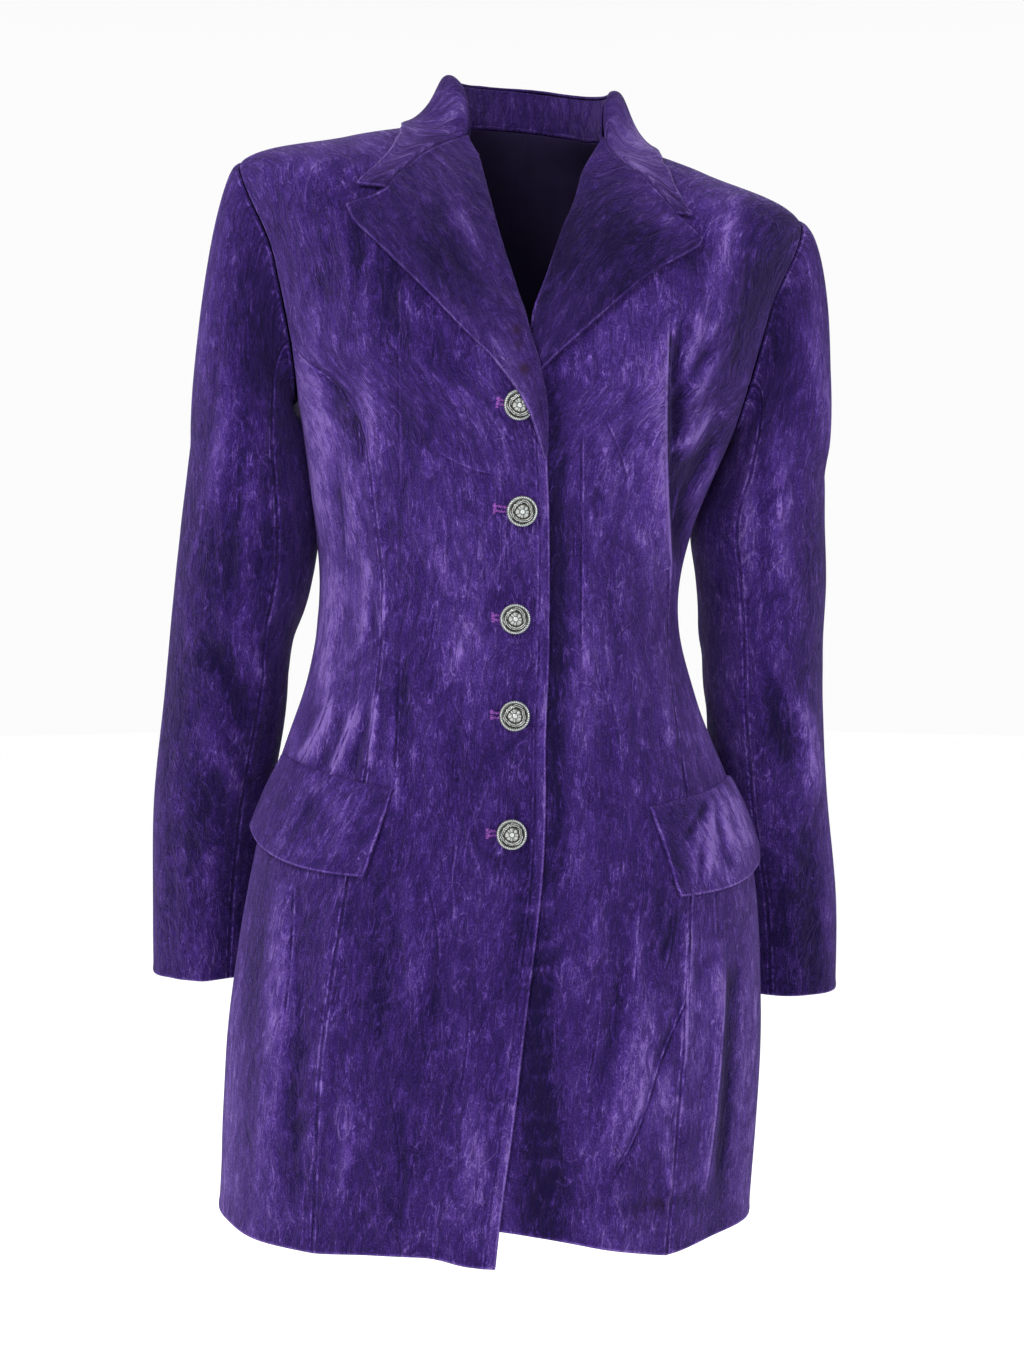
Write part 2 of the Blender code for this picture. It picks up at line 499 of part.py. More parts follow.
# collar: the leaf turns down from the fold line over the neck seam; its columns run across it,
# from the gorge and the fold line to its outer edge
FOLD_COLS, LEAF_ROWS = 26, 5
LEFT_GORGE_ROUND = np.array(LEFT_GORGE) - [360.0, 0.0]
leaf_inner = np.vstack([trace(RIGHT_GORGE, GORGE_STEPS)[::-1], trace(COLLAR_FOLD, FOLD_COLS)[1:],
                        trace(LEFT_GORGE_ROUND, GORGE_STEPS)[1:]])
leaf_outer = np.vstack([trace(COLLAR_EDGE[:4], GORGE_STEPS), trace(COLLAR_EDGE[3:-3], FOLD_COLS)[1:],
                        trace(COLLAR_EDGE[-4:], GORGE_STEPS)[1:]])
grid = coons(trace(RIGHT_COLLAR_END, LEAF_ROWS), trace(LEFT_COLLAR_END, LEAF_ROWS), leaf_inner, leaf_outer)
columns = np.arange(len(leaf_inner))[None, :] + 0 * grid[..., 0]
loose = smooth((np.minimum(columns, columns[:, ::-1]) - GORGE_STEPS + 1) / 5.0)


def leaf_height(t, loose):
    """The leaf bridges the hollow between neck and shoulder, and lies closer at its edge."""
    return ON_TOP + 0.0015 + (0.0085 * np.exp(-((t - 0.95) / 0.36) ** 2) - 0.0006) * loose


def off_body(a, t, h):
    """Points and normals of a layer that lies h over the body."""
    surface = lambda q, w: body(q, w, h)
    return surface(a, t), outward(surface, a, t)


cloth("collar_fall", *off_body(grid[..., 0], grid[..., 1], leaf_height(grid[..., 1], loose)),
      COLLAR_VELVET, seam=0.0006)

# the stand rises inside the leaf, from just over the neck seam to the fold line
STAND_ENDS = (-43.0, -317.0)
STAND_LOW_T = 0.970
stand_a = np.linspace(*STAND_ENDS, 35)
fold_q = trace([(-40.0, 1.0)] + COLLAR_FOLD + [(-320.0, 0.98)], 200)
stand_top = np.interp(-stand_a, -fold_q[:, 0], fold_q[:, 1])
stand_a, stand_v = np.meshgrid(stand_a, np.linspace(0, 1, 4))
stand_t = STAND_LOW_T - stand_v * np.maximum(STAND_LOW_T - stand_top, 0.06)
cloth("collar_stand", *off_body(stand_a, stand_t, 0.0), COLLAR_VELVET)


# pocket flaps: caught along the top edge, standing off a little at the bottom
def flap(name, corners):
    """A pocket flap between its corners; its outer lower corner stands off the most."""
    inner_top, inner_low, outer_low, outer_top = np.array(corners)
    u, v = np.meshgrid(np.linspace(0, 1, 9), np.linspace(0, 1, 5))
    u3, v3 = u[..., None], v[..., None]
    grid = ((1 - u3) * (1 - v3) * inner_top + (1 - u3) * v3 * inner_low
            + u3 * v3 * outer_low + u3 * (1 - v3) * outer_top)
    grid[..., 1] += 0.05 * np.sin(np.pi * u) * v
    lift = ON_TOP + v * (0.0012 + 0.0045 * u * u)
    cloth(name, *off_body(grid[..., 0], grid[..., 1], lift))


flap("right_flap", RIGHT_FLAP)
flap("left_flap", LEFT_FLAP)


# buttons: one turned profile, from the shank up to the rim and over the dome
def button(name, a, t, off):
    """A domed button whose shank stands off the cloth of the right front."""
    surface = lambda q, w: body(q, w, right_lift(q, w))
    foot = surface(a, t) + outward(surface, a, t) * (WALL / 2 + GAP + off)
    axis = outward(surface, a, t)
    side = unit(np.cross(np.array([0.0, 0.0, 1.0]), axis))
    up = np.cross(axis, side)
    profile = [(0.0028, 0.0), (0.0028, 0.0016), (0.0105, 0.0019), (BUTTON_R, 0.0026),
               (0.0108, 0.0036), (0.0094, 0.0041), (0.0066, 0.0055), (0.0033, 0.0062)]
    count = 16
    verts = [foot]
    for r, z in profile:
        for k in range(count):
            w = 2 * math.pi * k / count
            verts.append(foot + axis * z + side * r * math.cos(w) + up * r * math.sin(w))
    verts.append(foot + axis * BUTTON_H)
    faces = []
    for k in range(count):
        n = (k + 1) % count
        faces.append((0, 1 + n, 1 + k))
        for i in range(len(profile) - 1):
            lo, hi = 1 + i * count, 1 + (i + 1) * count
            faces.append((lo + k, lo + n, hi + n, hi + k))
        top = 1 + (len(profile) - 1) * count
        faces.append((top + k, top + n, len(verts) - 1))
    return add_object(name, verts, faces, SILVER, 0.38, 1.0)


for number, (a, t, off) in enumerate(BUTTONS, 1):
    button("button_%d" % number, np.float64(a), np.float64(t), off)
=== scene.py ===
# %% [markdown]
# # A purple velvet blazer
# This lesson dresses a hollow, worn blazer around its CAD model.  Every panel is made again as a
# thin wall on the same worked-out surface as its solid, with many more points, so that it can
# carry the folds, the turned edges and the crushed pile that the coarse solids leave out.

# %% Load the CAD model
import math

import bpy
import numpy as np
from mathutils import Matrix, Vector


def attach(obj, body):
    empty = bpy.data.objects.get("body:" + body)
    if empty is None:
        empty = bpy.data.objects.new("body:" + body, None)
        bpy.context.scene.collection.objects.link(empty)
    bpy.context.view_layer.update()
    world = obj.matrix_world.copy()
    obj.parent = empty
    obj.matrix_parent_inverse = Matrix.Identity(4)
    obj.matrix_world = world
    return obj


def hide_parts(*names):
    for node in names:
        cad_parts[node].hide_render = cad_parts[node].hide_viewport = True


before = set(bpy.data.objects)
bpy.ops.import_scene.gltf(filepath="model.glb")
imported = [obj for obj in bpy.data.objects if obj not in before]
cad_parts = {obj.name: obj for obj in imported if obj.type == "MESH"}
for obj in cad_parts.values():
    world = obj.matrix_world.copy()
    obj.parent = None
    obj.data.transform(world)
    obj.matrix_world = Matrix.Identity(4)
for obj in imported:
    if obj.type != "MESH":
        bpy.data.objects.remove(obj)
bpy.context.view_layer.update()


def placed(name, data):
    """A new object in the scene, at the origin."""
    ob = bpy.data.objects.new(name, data)
    bpy.context.scene.collection.objects.link(ob)
    return ob


def store(mesh, name, values, kind="FLOAT"):
    """Keep one value, or one direction, for each point of a mesh as a named attribute."""
    attribute = mesh.attributes.new(name, kind, "POINT")
    values = np.asarray(values, np.float32).ravel()
    attribute.data.foreach_set("value" if kind == "FLOAT" else "vector", values)


# %% [markdown]
# ## The camera
# Folds and marks on cloth are easiest to place where they are seen.  So the camera comes first:
# with its place, direction and focal length, any point of the cloth gives its pixel in the
# picture, and a fold can be written down as a line between two pixels.

# %% Camera and projection
PICTURE_W, PICTURE_H = 1024, 1365
FOCAL_PX = 2052.0
METRE_PX = FOCAL_PX / 1.50     # pixels in a metre at the front of the cloth, 1.50 m away
CAMERA_AT = np.array([-0.1596, -1.6031, -0.2838])
CAMERA_TURN, CAMERA_TILT = math.radians(5.0), math.radians(5.0)
SENSOR = 36.0

ahead = np.array([math.sin(CAMERA_TURN) * math.cos(CAMERA_TILT),
                  math.cos(CAMERA_TURN) * math.cos(CAMERA_TILT), -math.sin(CAMERA_TILT)])
rightward = np.array([math.cos(CAMERA_TURN), -math.sin(CAMERA_TURN), 0.0])
upward = np.cross(rightward, ahead)

camera_data = bpy.data.cameras.new("camera")
camera_data.sensor_width = SENSOR
camera_data.lens = FOCAL_PX / PICTURE_H * SENSOR
camera_data.clip_start, camera_data.clip_end = 0.05, 100.0
camera = placed("camera", camera_data)
camera.location = CAMERA_AT
camera.rotation_mode = "QUATERNION"
camera.rotation_quaternion = Vector(ahead).to_track_quat("-Z", "Y")
bpy.context.scene.camera = camera


def pixel(points):
    """Where points fall in the picture, in pixels."""
    away = points - CAMERA_AT
    depth = away @ ahead
    return (PICTURE_W / 2 + FOCAL_PX * (away @ rightward) / depth,
            PICTURE_H / 2 - FOCAL_PX * (away @ upward) / depth)


print("origin is seen at pixel", np.round(pixel(np.zeros(3)), 1))

# %% [markdown]
# ## The body surface
# The blazer's body is a stack of rings, from the collar's top to the hem.  A point on it has two
# coordinates: a, the degrees round from the centre front (plus is the wearer's left), and t, the
# number of the ring.  A smooth curve through each column of the table gives any ring between.

# %% Rings of the body
MM = 0.001
WALL = 2.0 * MM        # cloth thickness
HEM_RING = 11.0
SHOULDER_A = 93.0      # where the shoulder seam runs, in degrees from centre front
STATIONS = np.array([
    # z_front z_side z_back half_w d_front d_back   cx      cy     n    tilt
    [-0.022, 0.034, 0.042, 0.0600, 0.050, 0.058, -0.0045, 0.000, 2.0, 0.089],
    [-0.060, 0.002, 0.010, 0.0680, 0.062, 0.060, -0.0050, 0.000, 2.0, 0.089],
    [-0.085, -0.020, -0.021, 0.1380, 0.082, 0.078, -0.0080, 0.000, 2.1, 0.089],
    [-0.118, -0.050, -0.060, 0.2165, 0.104, 0.094, -0.0120, 0.002, 2.2, 0.089],
    [-0.165, -0.120, -0.130, 0.1950, 0.121, 0.106, -0.0130, 0.002, 2.3, 0.089],
    [-0.213, -0.207, -0.207, 0.1710, 0.128, 0.108, -0.0160, 0.002, 2.2, 0.085],
    [-0.290, -0.290, -0.290, 0.1480, 0.119, 0.100, -0.0270, 0.000, 2.1, 0.080],
    [-0.360, -0.360, -0.360, 0.1385, 0.108, 0.094, -0.0290, 0.000, 2.1, 0.070],
    [-0.430, -0.430, -0.430, 0.1520, 0.117, 0.108, -0.0265, 0.002, 2.1, 0.063],
    [-0.540, -0.540, -0.540, 0.1905, 0.130, 0.132, -0.0235, 0.004, 2.2, 0.050],
    [-0.680, -0.680, -0.680, 0.2085, 0.138, 0.144, -0.0310, 0.004, 2.2, 0.030],
    [-0.845, -0.838, -0.842, 0.2085, 0.144, 0.150, -0.0405, 0.004, 2.2, 0.000],
])


def hermite(f, start, leave, end, arrive):
    """Smooth curve from start (f = 0) to end (f = 1), with its directions at both."""
    return ((2 * f ** 3 - 3 * f ** 2 + 1) * start + (f ** 3 - 2 * f ** 2 + f) * leave
            + (-2 * f ** 3 + 3 * f ** 2) * end + (f ** 3 - f ** 2) * arrive)


def spline(rows, t):
    """Smooth curve through evenly numbered rows, read at t (0 = first row)."""
    rows = np.asarray(rows, float)
    t = np.asarray(t, float)
    last = len(rows) - 1
    ext = np.vstack([2 * rows[0] - rows[1], rows, 2 * rows[-1] - rows[-2]])
    i = np.clip(np.floor(t).astype(int), 0, last - 1)
    f = (t - i)[..., None]
    p0, p1, p2, p3 = ext[i], ext[i + 1], ext[i + 2], ext[i + 3]
    return hermite(f, p1, (p2 - p0) / 2, p2, (p3 - p1) / 2)


def unit(v):
    """Each vector at length 1."""
    return v / np.maximum(np.linalg.norm(v, axis=-1, keepdims=True), 1e-12)


def smooth(x):
    """A soft step from 0 to 1."""
    x = np.clip(x, 0, 1)
    return x * x * (3 - 2 * x)


def half_turn(angle):
    """The same angle between -180 and 180 degrees."""
    return (angle + 180) % 360 - 180


def outward(surface, a, t):
    """Unit normal of a surface(a, t), pointing away from the body."""
    pa = surface(a + 0.2, t) - surface(a - 0.2, t)
    pt = surface(a, t + 0.01) - surface(a, t - 0.01)
    return unit(np.cross(pt, pa))


def body_base(a, t):
    """Point of the body's middle surface, without folds."""
    a, t = np.broadcast_arrays(np.asarray(a, float), np.asarray(t, float))
    zf, zs, zb, hw, df, db, cx, cy, n, tilt = np.moveaxis(spline(STATIONS, t), -1, 0)
    s, c = np.sin(np.radians(a)), np.cos(np.radians(a))
    d = np.where(c >= 0, df, db)
    r = (np.abs(s / hw) ** n + np.abs(c / d) ** n) ** (-1 / n)
    z = zs + (np.where(c >= 0, zf, zb) - zs) * c * c
    x, y = r * s, -r * c
    return np.stack([cx + x, cy + y, z - tilt * x], -1)


print("waist is", round(float(np.ptp(body_base(np.arange(0, 360, 5.0), 7.0)[:, 0])), 3), "m wide")

# %% [markdown]
# ## Large folds
# A real jacket hangs in long soft folds.  Each is a ridge or, with a minus, a trough, from one
# point of the cloth to another.  These are the folds that the solids have too: on the skirt they
# grow down to the hem, on the bodice they fade at both ends.

# %% Folds in (a, t)
SKIRT_GROWS, BODICE_FADES = 2.0, 0.8     # rings over which a fold grows or fades
FOLDS = np.array([
    # a_top  t_top  a_low  t_low  width_deg height
    [41.0, 4.1, 56.0, 6.6, 8.0, 0.0075],
    [58.0, 4.5, 72.0, 6.6, 7.5, -0.0055],
    [-58.0, 4.7, -66.0, 6.0, 8.0, -0.0025],
    [44.0, 8.9, 28.0, 11.4, 8.0, 0.0040],
    [64.0, 9.2, 61.0, 11.4, 8.0, -0.0045],
    [80.0, 9.0, 78.0, 11.4, 8.0, 0.0030],
    [-62.0, 9.0, -66.0, 11.4, 8.0, 0.0045],
    [-40.0, 9.4, -38.0, 11.4, 9.0, -0.0030],
    [-84.0, 9.2, -86.0, 11.4, 8.0, 0.0030],
    [112.0, 8.8, 116.0, 11.4, 9.0, 0.0045],
    [134.0, 9.0, 134.0, 11.4, 8.0, -0.0040],
    [156.0, 8.9, 158.0, 11.4, 9.0, 0.0045],
    [-110.0, 9.0, -112.0, 11.4, 9.0, 0.0045],
    [-133.0, 8.9, -131.0, 11.4, 8.0, -0.0040],
    [-157.0, 9.1, -160.0, 11.4, 9.0, 0.0040],
])


def fold_height(a, t):
    """How far the folds lift the cloth at (a, t)."""
    a, t = np.broadcast_arrays(np.asarray(a, float), np.asarray(t, float))
    out = np.zeros(a.shape)
    for a0, t0, a1, t1, width, height in FOLDS:
        k = np.clip((t - t0) / (t1 - t0), 0, 1)
        if t1 > HEM_RING:          # a skirt fold grows down to the hem
            ends = np.clip((t - t0) / SKIRT_GROWS, 0, 1)
        else:                      # a bodice fold fades at both ends
            ends = np.clip(t - t0, 0, 1) * np.clip((t1 - t) / BODICE_FADES, 0, 1)
        away = half_turn(a - (a0 + (a1 - a0) * k))
        out = out + height * smooth(ends) * np.exp(-(away / width) ** 2)
    return out


def folded(a, t):
    """Middle surface of the body with its large folds."""
    return body_base(a, t) + fold_height(a, t)[..., None] * outward(body_base, a, t)


def on_body(a, t):
    """Points of the folded body and their unit normals."""
    return folded(a, t), outward(folded, a, t)


print("large folds:", len(FOLDS))

# %% [markdown]
# ## Smaller folds, their painted light and shade, and the lie of the pile
# Drag lines, creases and dents come in two tables.  The first is written in pixels, for what the
# picture shows; the second in (a, t), for the sides and the back, which get folds of the same
# kind.  Each row has a height in millimetres and a tone.  The tone is painted light on a ridge and
# painted shade in a trough; pressed or stretched velvet turns its pile as well, so part of it is
# the pile's own.

# %% Marks on the cloth
BODY_MARKS = [
    # x0   y0   x1   y1   bow  width height tone
    (665, 325, 665, 572, -3, 9, 6.0, 0.40),
    (680, 332, 679, 566, -3, 9, -9.0, -1.20),
    (699, 308, 675, 398, 3, 5, 3.2, 0.80),
    (714, 318, 704, 342, 1, 5, 1.6, 0.50),
    (713, 346, 682, 402, -3, 6, -2.2, -0.45),
    (724, 346, 692, 400, -3, 7, 2.4, 0.55),
    (714, 398, 670, 456, 6, 4, 2.8, 0.90),
    (722, 420, 676, 476, 6, 6, -2.4, -0.65),
    (719, 413, 680, 508, 10, 6, 2.8, 0.55),
    (700, 462, 676, 494, 3, 6, -1.8, -0.40),
    (747, 372, 722, 422, -3, 8, 1.4, 0.50),
    (308, 352, 348, 395, -3, 3.5, -1.8, -0.40),
    (313, 350, 352, 388, -3, 4, 1.6, 0.30),
    (304, 345, 320, 540, 6, 15, 1.0, 0.35),
    (366, 372, 377, 470, 3, 7, 2.4, 0.38),
    (354, 415, 364, 460, 2, 4, -1.8, -0.45),
    (346, 455, 352, 560, 3, 7, 1.6, 0.40),
    (335, 470, 348, 580, 2, 6, -1.4, -0.40),
    (368, 548, 361, 652, 3, 5, 2.0, 0.60),
    (384, 586, 383, 636, 0, 4, 1.2, 0.35),
    (330, 560, 322, 700, 4, 10, 2.0, 0.40),
    (347, 600, 331, 668, 3, 5, -1.4, -0.35),
    (359, 703, 331, 776, 2, 5, 3.6, 0.95),
    (368, 712, 347, 778, 2, 5, -2.4, -0.45),
    (345, 712, 319, 772, 2, 6, -2.0, -0.40),
    (377, 692, 370, 768, 1, 4, 2.2, 0.70),
    (333, 698, 302, 763, 3, 6, 2.8, 0.65),
    (318, 700, 290, 755, 3, 6, -2.0, -0.40),
    (299, 728, 290, 762, 1, 5, 1.8, 0.45),
    (404, 655, 399, 800, 0, 5, -1.4, -0.40),
    (397, 756, 396, 812, 0, 5, 2.2, 0.65),
    # the chest, above the bust
    (334, 212, 352, 300, 3, 6, 1.6, 0.40),
    (347, 206, 366, 292, 3, 6, -1.4, -0.30),
    (376, 232, 364, 316, -3, 6, 1.4, 0.40),
    (398, 252, 386, 336, -2, 7, -1.4, -0.30),
    (318, 262, 330, 330, 2, 6, -1.2, -0.25),
    (408, 296, 420, 372, 2, 7, 1.2, 0.30),
    # the middle of the front
    (440, 452, 490, 470, -3, 5, 1.0, 0.22),
    (414, 520, 452, 590, 4, 7, 1.0, 0.22),
    (470, 612, 444, 690, 4, 7, 1.2, 0.26),
    (500, 560, 484, 640, 3, 5, -0.9, -0.20),
    (420, 690, 436, 800, 3, 9, 1.2, 0.22),
    (456, 720, 448, 830, 2, 8, -1.0, -0.20),
    (598, 420, 612, 520, 3, 7, 1.2, 0.28),
    (630, 380, 622, 470, 3, 6, -1.0, -0.25),
    (582, 470, 590, 560, 2, 5, 0.9, 0.25),
    (640, 520, 652, 640, 3, 8, 1.2, 0.28),
    (604, 560, 618, 690, 3, 9, -1.2, -0.25),
    (582, 620, 590, 760, 2, 8, 1.2, 0.26),
    (655, 640, 668, 752, 2, 7, 1.4, 0.32),
    # the skirt
    (689, 990, 645, 1110, -4, 5, -2.0, -0.36),
    (645, 1104, 612, 1176, 3, 5, -1.8, -0.30),
    (688, 920, 685, 1062, 0, 5, 1.8, 0.60),
    (719, 940, 713, 1120, 2, 6, 2.6, 0.50),
    (714, 1100, 703, 1190, 0, 6, 2.2, 0.50),
    (733, 955, 717, 1185, 3, 6, -2.4, -0.62),
    (638, 912, 633, 986, 1, 3.5, 1.2, 0.50),
    (671, 915, 662, 966, 1, 3.5, -1.0, -0.45),
    (650, 1060, 607, 1172, 4, 5, 1.8, 0.35),
    (642, 985, 598, 1156, 9, 8, 2.0, 0.28),
    (622, 960, 586, 1120, 8, 8, -1.6, -0.35),
    (600, 900, 574, 1010, 4, 8, 1.4, 0.30),
    (660, 1120, 668, 1196, 2, 7, 1.6, 0.35),
    (280, 870, 262, 1180, 3, 11, 2.2, 0.35),
    (300, 880, 290, 1200, 3, 9, -2.0, -0.40),
    (330, 900, 322, 1100, 2, 8, 1.4, 0.30),
    (372, 900, 380, 1060, 3, 8, -1.2, -0.25),
    (402, 860, 412, 1010, 3, 9, 1.6, 0.32),
    (436, 930, 424, 1090, 3, 8, -1.2, -0.25),
    (462, 1010, 476, 1180, 3, 10, 1.4, 0.28),
    (350, 1080, 338, 1220, 2, 9, 1.4, 0.26),
    (404, 1100, 396, 1230, 2, 8, -1.2, -0.25),
]
for y in (908, 948, 971, 1012, 1028, 1053, 1079, 1117, 1145, 1165):
    # bars across the pressed underlap
    BODY_MARKS.append((520 + 0.02 * y - 17, y, 556, y - 3, 0, 3.6, 0.5, 0.42))
RING_DEG = 30.0        # degrees that one ring counts for in the next table
HIDDEN_MARKS = [
    # a0    t0    a1    t1   bow  width height tone     (a and bow in degrees)
    (118, 4.9, 150, 6.4, 3, 4, 2.0, 0.25),
    (126, 4.7, 160, 6.0, 3, 4, -1.5, -0.2),
    (-116, 4.9, -148, 6.3, 3, 4, 2.0, 0.25),
    (-124, 4.7, -158, 5.9, 3, 4, -1.5, -0.2),
    (172, 6.4, 120, 7.1, 0.2, 4, 1.2, 0.2),
    (-170, 6.3, -118, 7.0, 0.2, 4, 1.3, 0.2),
    (150, 7.6, 128, 8.6, 2, 4, 1.6, 0.25),
    (-148, 7.5, -124, 8.5, 2, 4, 1.6, 0.25),
    (163, 7.9, 152, 9.0, 2, 4, -1.4, -0.2),
    (-165, 7.8, -150, 8.9, 2, 4, -1.4, -0.2),
    (-100, 6.1, -92, 7.6, 2, 5, 1.4, 0.3),
    (102, 6.2, 96, 7.6, 2, 5, 1.4, 0.3),
]
# Broad soft areas of tone: painted light and shade over the body, with some of the nap's own light
# and dark patches.
BODY_NAP_AND_SHADING = [
    # x    y    rx   ry  lean  tone     (soft ovals in pixels; lean in degrees)
    (362, 255, 60, 60, 0, -0.42),
    (335, 312, 40, 22, 0, 0.22),
    (300, 225, 22, 50, 0, 0.18),
    (395, 285, 22, 40, 0, -0.10),
    (420, 345, 50, 26, 35, -0.22),
    (308, 372, 16, 60, 5, 0.36),
    (322, 470, 20, 90, 8, 0.44),
    (340, 600, 22, 110, 6, 0.45),
    (372, 450, 14, 60, 4, 0.16),
    (345, 405, 10, 40, -20, -0.45),
    (300, 200, 40, 22, 0, -0.25),
    (440, 470, 46, 60, 0, -0.02),
    (452, 560, 40, 40, 0, 0.12),
    (470, 640, 34, 46, 0, 0.14),
    (432, 720, 24, 80, 0, -0.14),
    (352, 740, 18, 44, 15, 0.35),
    (312, 735, 22, 40, 25, 0.25),
    (288, 980, 20, 90, 3, 0.42),
    (232, 1100, 13, 110, 4, 0.40),
    (256, 1010, 9, 120, 4, -0.30),
    (330, 960, 22, 120, 3, -0.18),
    (380, 1010, 130, 190, 0, -0.12),
    (360, 1120, 40, 60, 0, 0.05),
    (430, 1000, 40, 120, 0, 0.06),
    (470, 1170, 26, 60, 0, 0.20),
    (410, 880, 30, 40, 0, -0.20),
    # a painted shadow on the left front along the right front's edge, which laps over it
    (556, 620, 9, 240, 0, -0.95),
    (664, 1102, 18, 36, -22, 0.28),
    (682, 1140, 18, 13, 0, -0.32),
    (660, 1204, 42, 6, -8, -0.28),
    # a dark band along the front edge on the skirt: painted shadow of the overlap, with the pressed
    # nap
    (540, 1060, 17, 190, -3, -0.78),
    (528, 1160, 12, 90, -3, -0.35),
    (724, 245, 13, 60, 8, 0.75),
    (690, 215, 26, 24, 20, 0.20),
    (768, 262, 34, 70, 15, -0.60),
    (690, 262, 26, 22, 20, -0.20),
    (640, 420, 26, 80, 0, 0.12),
    (590, 420, 30, 80, 0, -0.10),
    (610, 560, 40, 60, 0, -0.04),
    (620, 480, 60, 160, 0, 0.14),
    (712, 350, 26, 44, 30, 0.02),
    (690, 470, 20, 70, 12, 0.02),
    (735, 390, 16, 40, 20, -0.25),
    (740, 330, 12, 50, 20, -0.25),
    (722, 440, 8, 60, 15, -0.25),
    (698, 620, 12, 70, -6, 0.35),
    (640, 660, 26, 110, 0, -0.12),
    (585, 720, 22, 110, 0, 0.06),
    (700, 730, 20, 40, -10, 0.30),
    (740, 1060, 13, 130, 2, 0.40),
    (705, 1030, 12, 110, 3, 0.28),
    (722, 1090, 7, 110, 3, -0.45),
    (655, 1100, 30, 60, 25, 0.14),
    (640, 1170, 34, 30, 0, -0.28),
    (600, 960, 26, 90, 0, -0.08),
    (610, 1080, 34, 80, 0, 0.12),
    (672, 930, 14, 60, 0, -0.25),
]
BODY_R = 0.15          # mean radius of the body (m), which turns degrees into lengths
# the next two paint light and shade on relief: lighter as a dent or fold stands up, darker as it
# sinks
DENT_LIGHT_AND_SHADE = 0.16 / MM  # tone of a dent, for each metre of height
FOLD_LIGHT_AND_SHADE = 0.30 / 0.008


def area_nap_and_shading(points, normals, areas):
    """Tone of the broad areas at points: painted light and shade, with some of the nap's own
    patches.
    """
    x, y = pixel(points)
    out = np.zeros(x.shape)
    for px, py, wide, high, lean, tone in areas:
        co, si = math.cos(math.radians(lean)), math.sin(math.radians(lean))
        across, along = (x - px) * co + (y - py) * si, (y - py) * co - (x - px) * si
        out += tone * np.exp(-(across / wide) ** 2 - (along / high) ** 2)
    return out * facing_camera(points, normals)


def stroke(x, y, row):
    """Share of one mark at (x, y): 1 on its line, soft to both sides, tapering to its ends."""
    x0, y0, x1, y1, bow, width = row[:6]
    dx, dy = x1 - x0, y1 - y0
    length = math.hypot(dx, dy)
    k = ((x - x0) * dx + (y - y0) * dy) / length ** 2
    side = ((x - x0) * dy - (y - y0) * dx) / length
    inside = np.clip(k, 0, 1)
    off = side - bow * 4 * inside * (1 - inside)
    taper = smooth(np.minimum(k, 1 - k) / 0.25 + 0.25)
    return np.exp(-(off / width) ** 2) * taper


def ring_stroke(a, t, row):
    """The same for a mark in (a, t), where one ring is worth RING_DEG degrees."""
    a0, t0, a1, t1 = row[:4]
    middle = (a0 + a1) / 2
    nearest = half_turn(a - middle) + middle
    return stroke(nearest, t * RING_DEG, (a0, t0 * RING_DEG, a1, t1 * RING_DEG) + row[4:])


def lattice(x, y, seed):
    """Smooth noise from -1 to 1 with one bump for each whole number."""
    xi, yi = np.floor(x), np.floor(y)
    fx, fy = smooth(x - xi), smooth(y - yi)

    def corner(i, j):
        h = np.sin((xi + i) * 127.1 + (yi + j) * 311.7 + seed * 74.7) * 43758.5453
        return 2 * (h - np.floor(h)) - 1

    low = corner(0, 0) * (1 - fx) + corner(1, 0) * fx
    high = corner(0, 1) * (1 - fx) + corner(1, 1) * fx
    return low * (1 - fy) + high * fy


def rumple(along, down, seed):
    """Uneven dents of crushed cloth, longer than wide; along and down in metres, result too."""
    wander = 0.006 * lattice(along * 14, down * 9, seed + 7)
    broad = 0.8 * MM * lattice((along + wander) * 30, down * 10, seed)
    narrow = 0.32 * MM * lattice((along + wander) * 85, down * 26, seed + 3)
    return broad + narrow


def facing_camera(points, normals):
    """1 where the cloth faces the camera, 0 where it is turned away."""
    return smooth((normals * unit(CAMERA_AT - points)).sum(-1) / 0.25)


def marked(points, normals, marks):
    """Height (m) and tone of the pixel marks at points of a surface; the tone is mostly painted
    light and shade of the marks' ridges and troughs.
    """
    x, y = pixel(points)
    seen = facing_camera(points, normals)
    height, tone = np.zeros(x.shape), np.zeros(x.shape)
    for row in marks:
        share = stroke(x, y, row) * seen
        height += share * row[6] * MM
        tone += share * row[7]
    return height, tone


def body_relief(a, t):
    """Height and tone of every smaller fold of the body at (a, t); the tone paints light on ridges
    and shade in troughs and dents.
    """
    points, normals = on_body(a, t)
    height, tone = marked(points, normals, BODY_MARKS)
    tone = tone + area_nap_and_shading(points, normals, BODY_NAP_AND_SHADING)
    for row in HIDDEN_MARKS:
        share = ring_stroke(a, t, row)
        height = height + share * row[6] * MM
        tone = tone + share * row[7]
    dents = rumple(np.radians(a) * BODY_R, points[..., 2], 1)
    return height + dents, tone + dents * DENT_LIGHT_AND_SHADE + fold_height(a, t) * FOLD_LIGHT_AND_SHADE


print("marks:", len(BODY_MARKS), "seen,", len(HIDDEN_MARKS), "on the hidden sides")

# %% [markdown]
# ## Seams, edges and hems
# The outline of each panel is a few points in (a, t), joined by a smooth curve.  The armhole goes
# once round: phi is 0 at the shoulder, 90 in front, 180 under the arm and 270 behind.  A panel is
# then a grid stretched between its four edges, with extra rows and columns close to its rim,
# where a turned edge needs a tight curve.

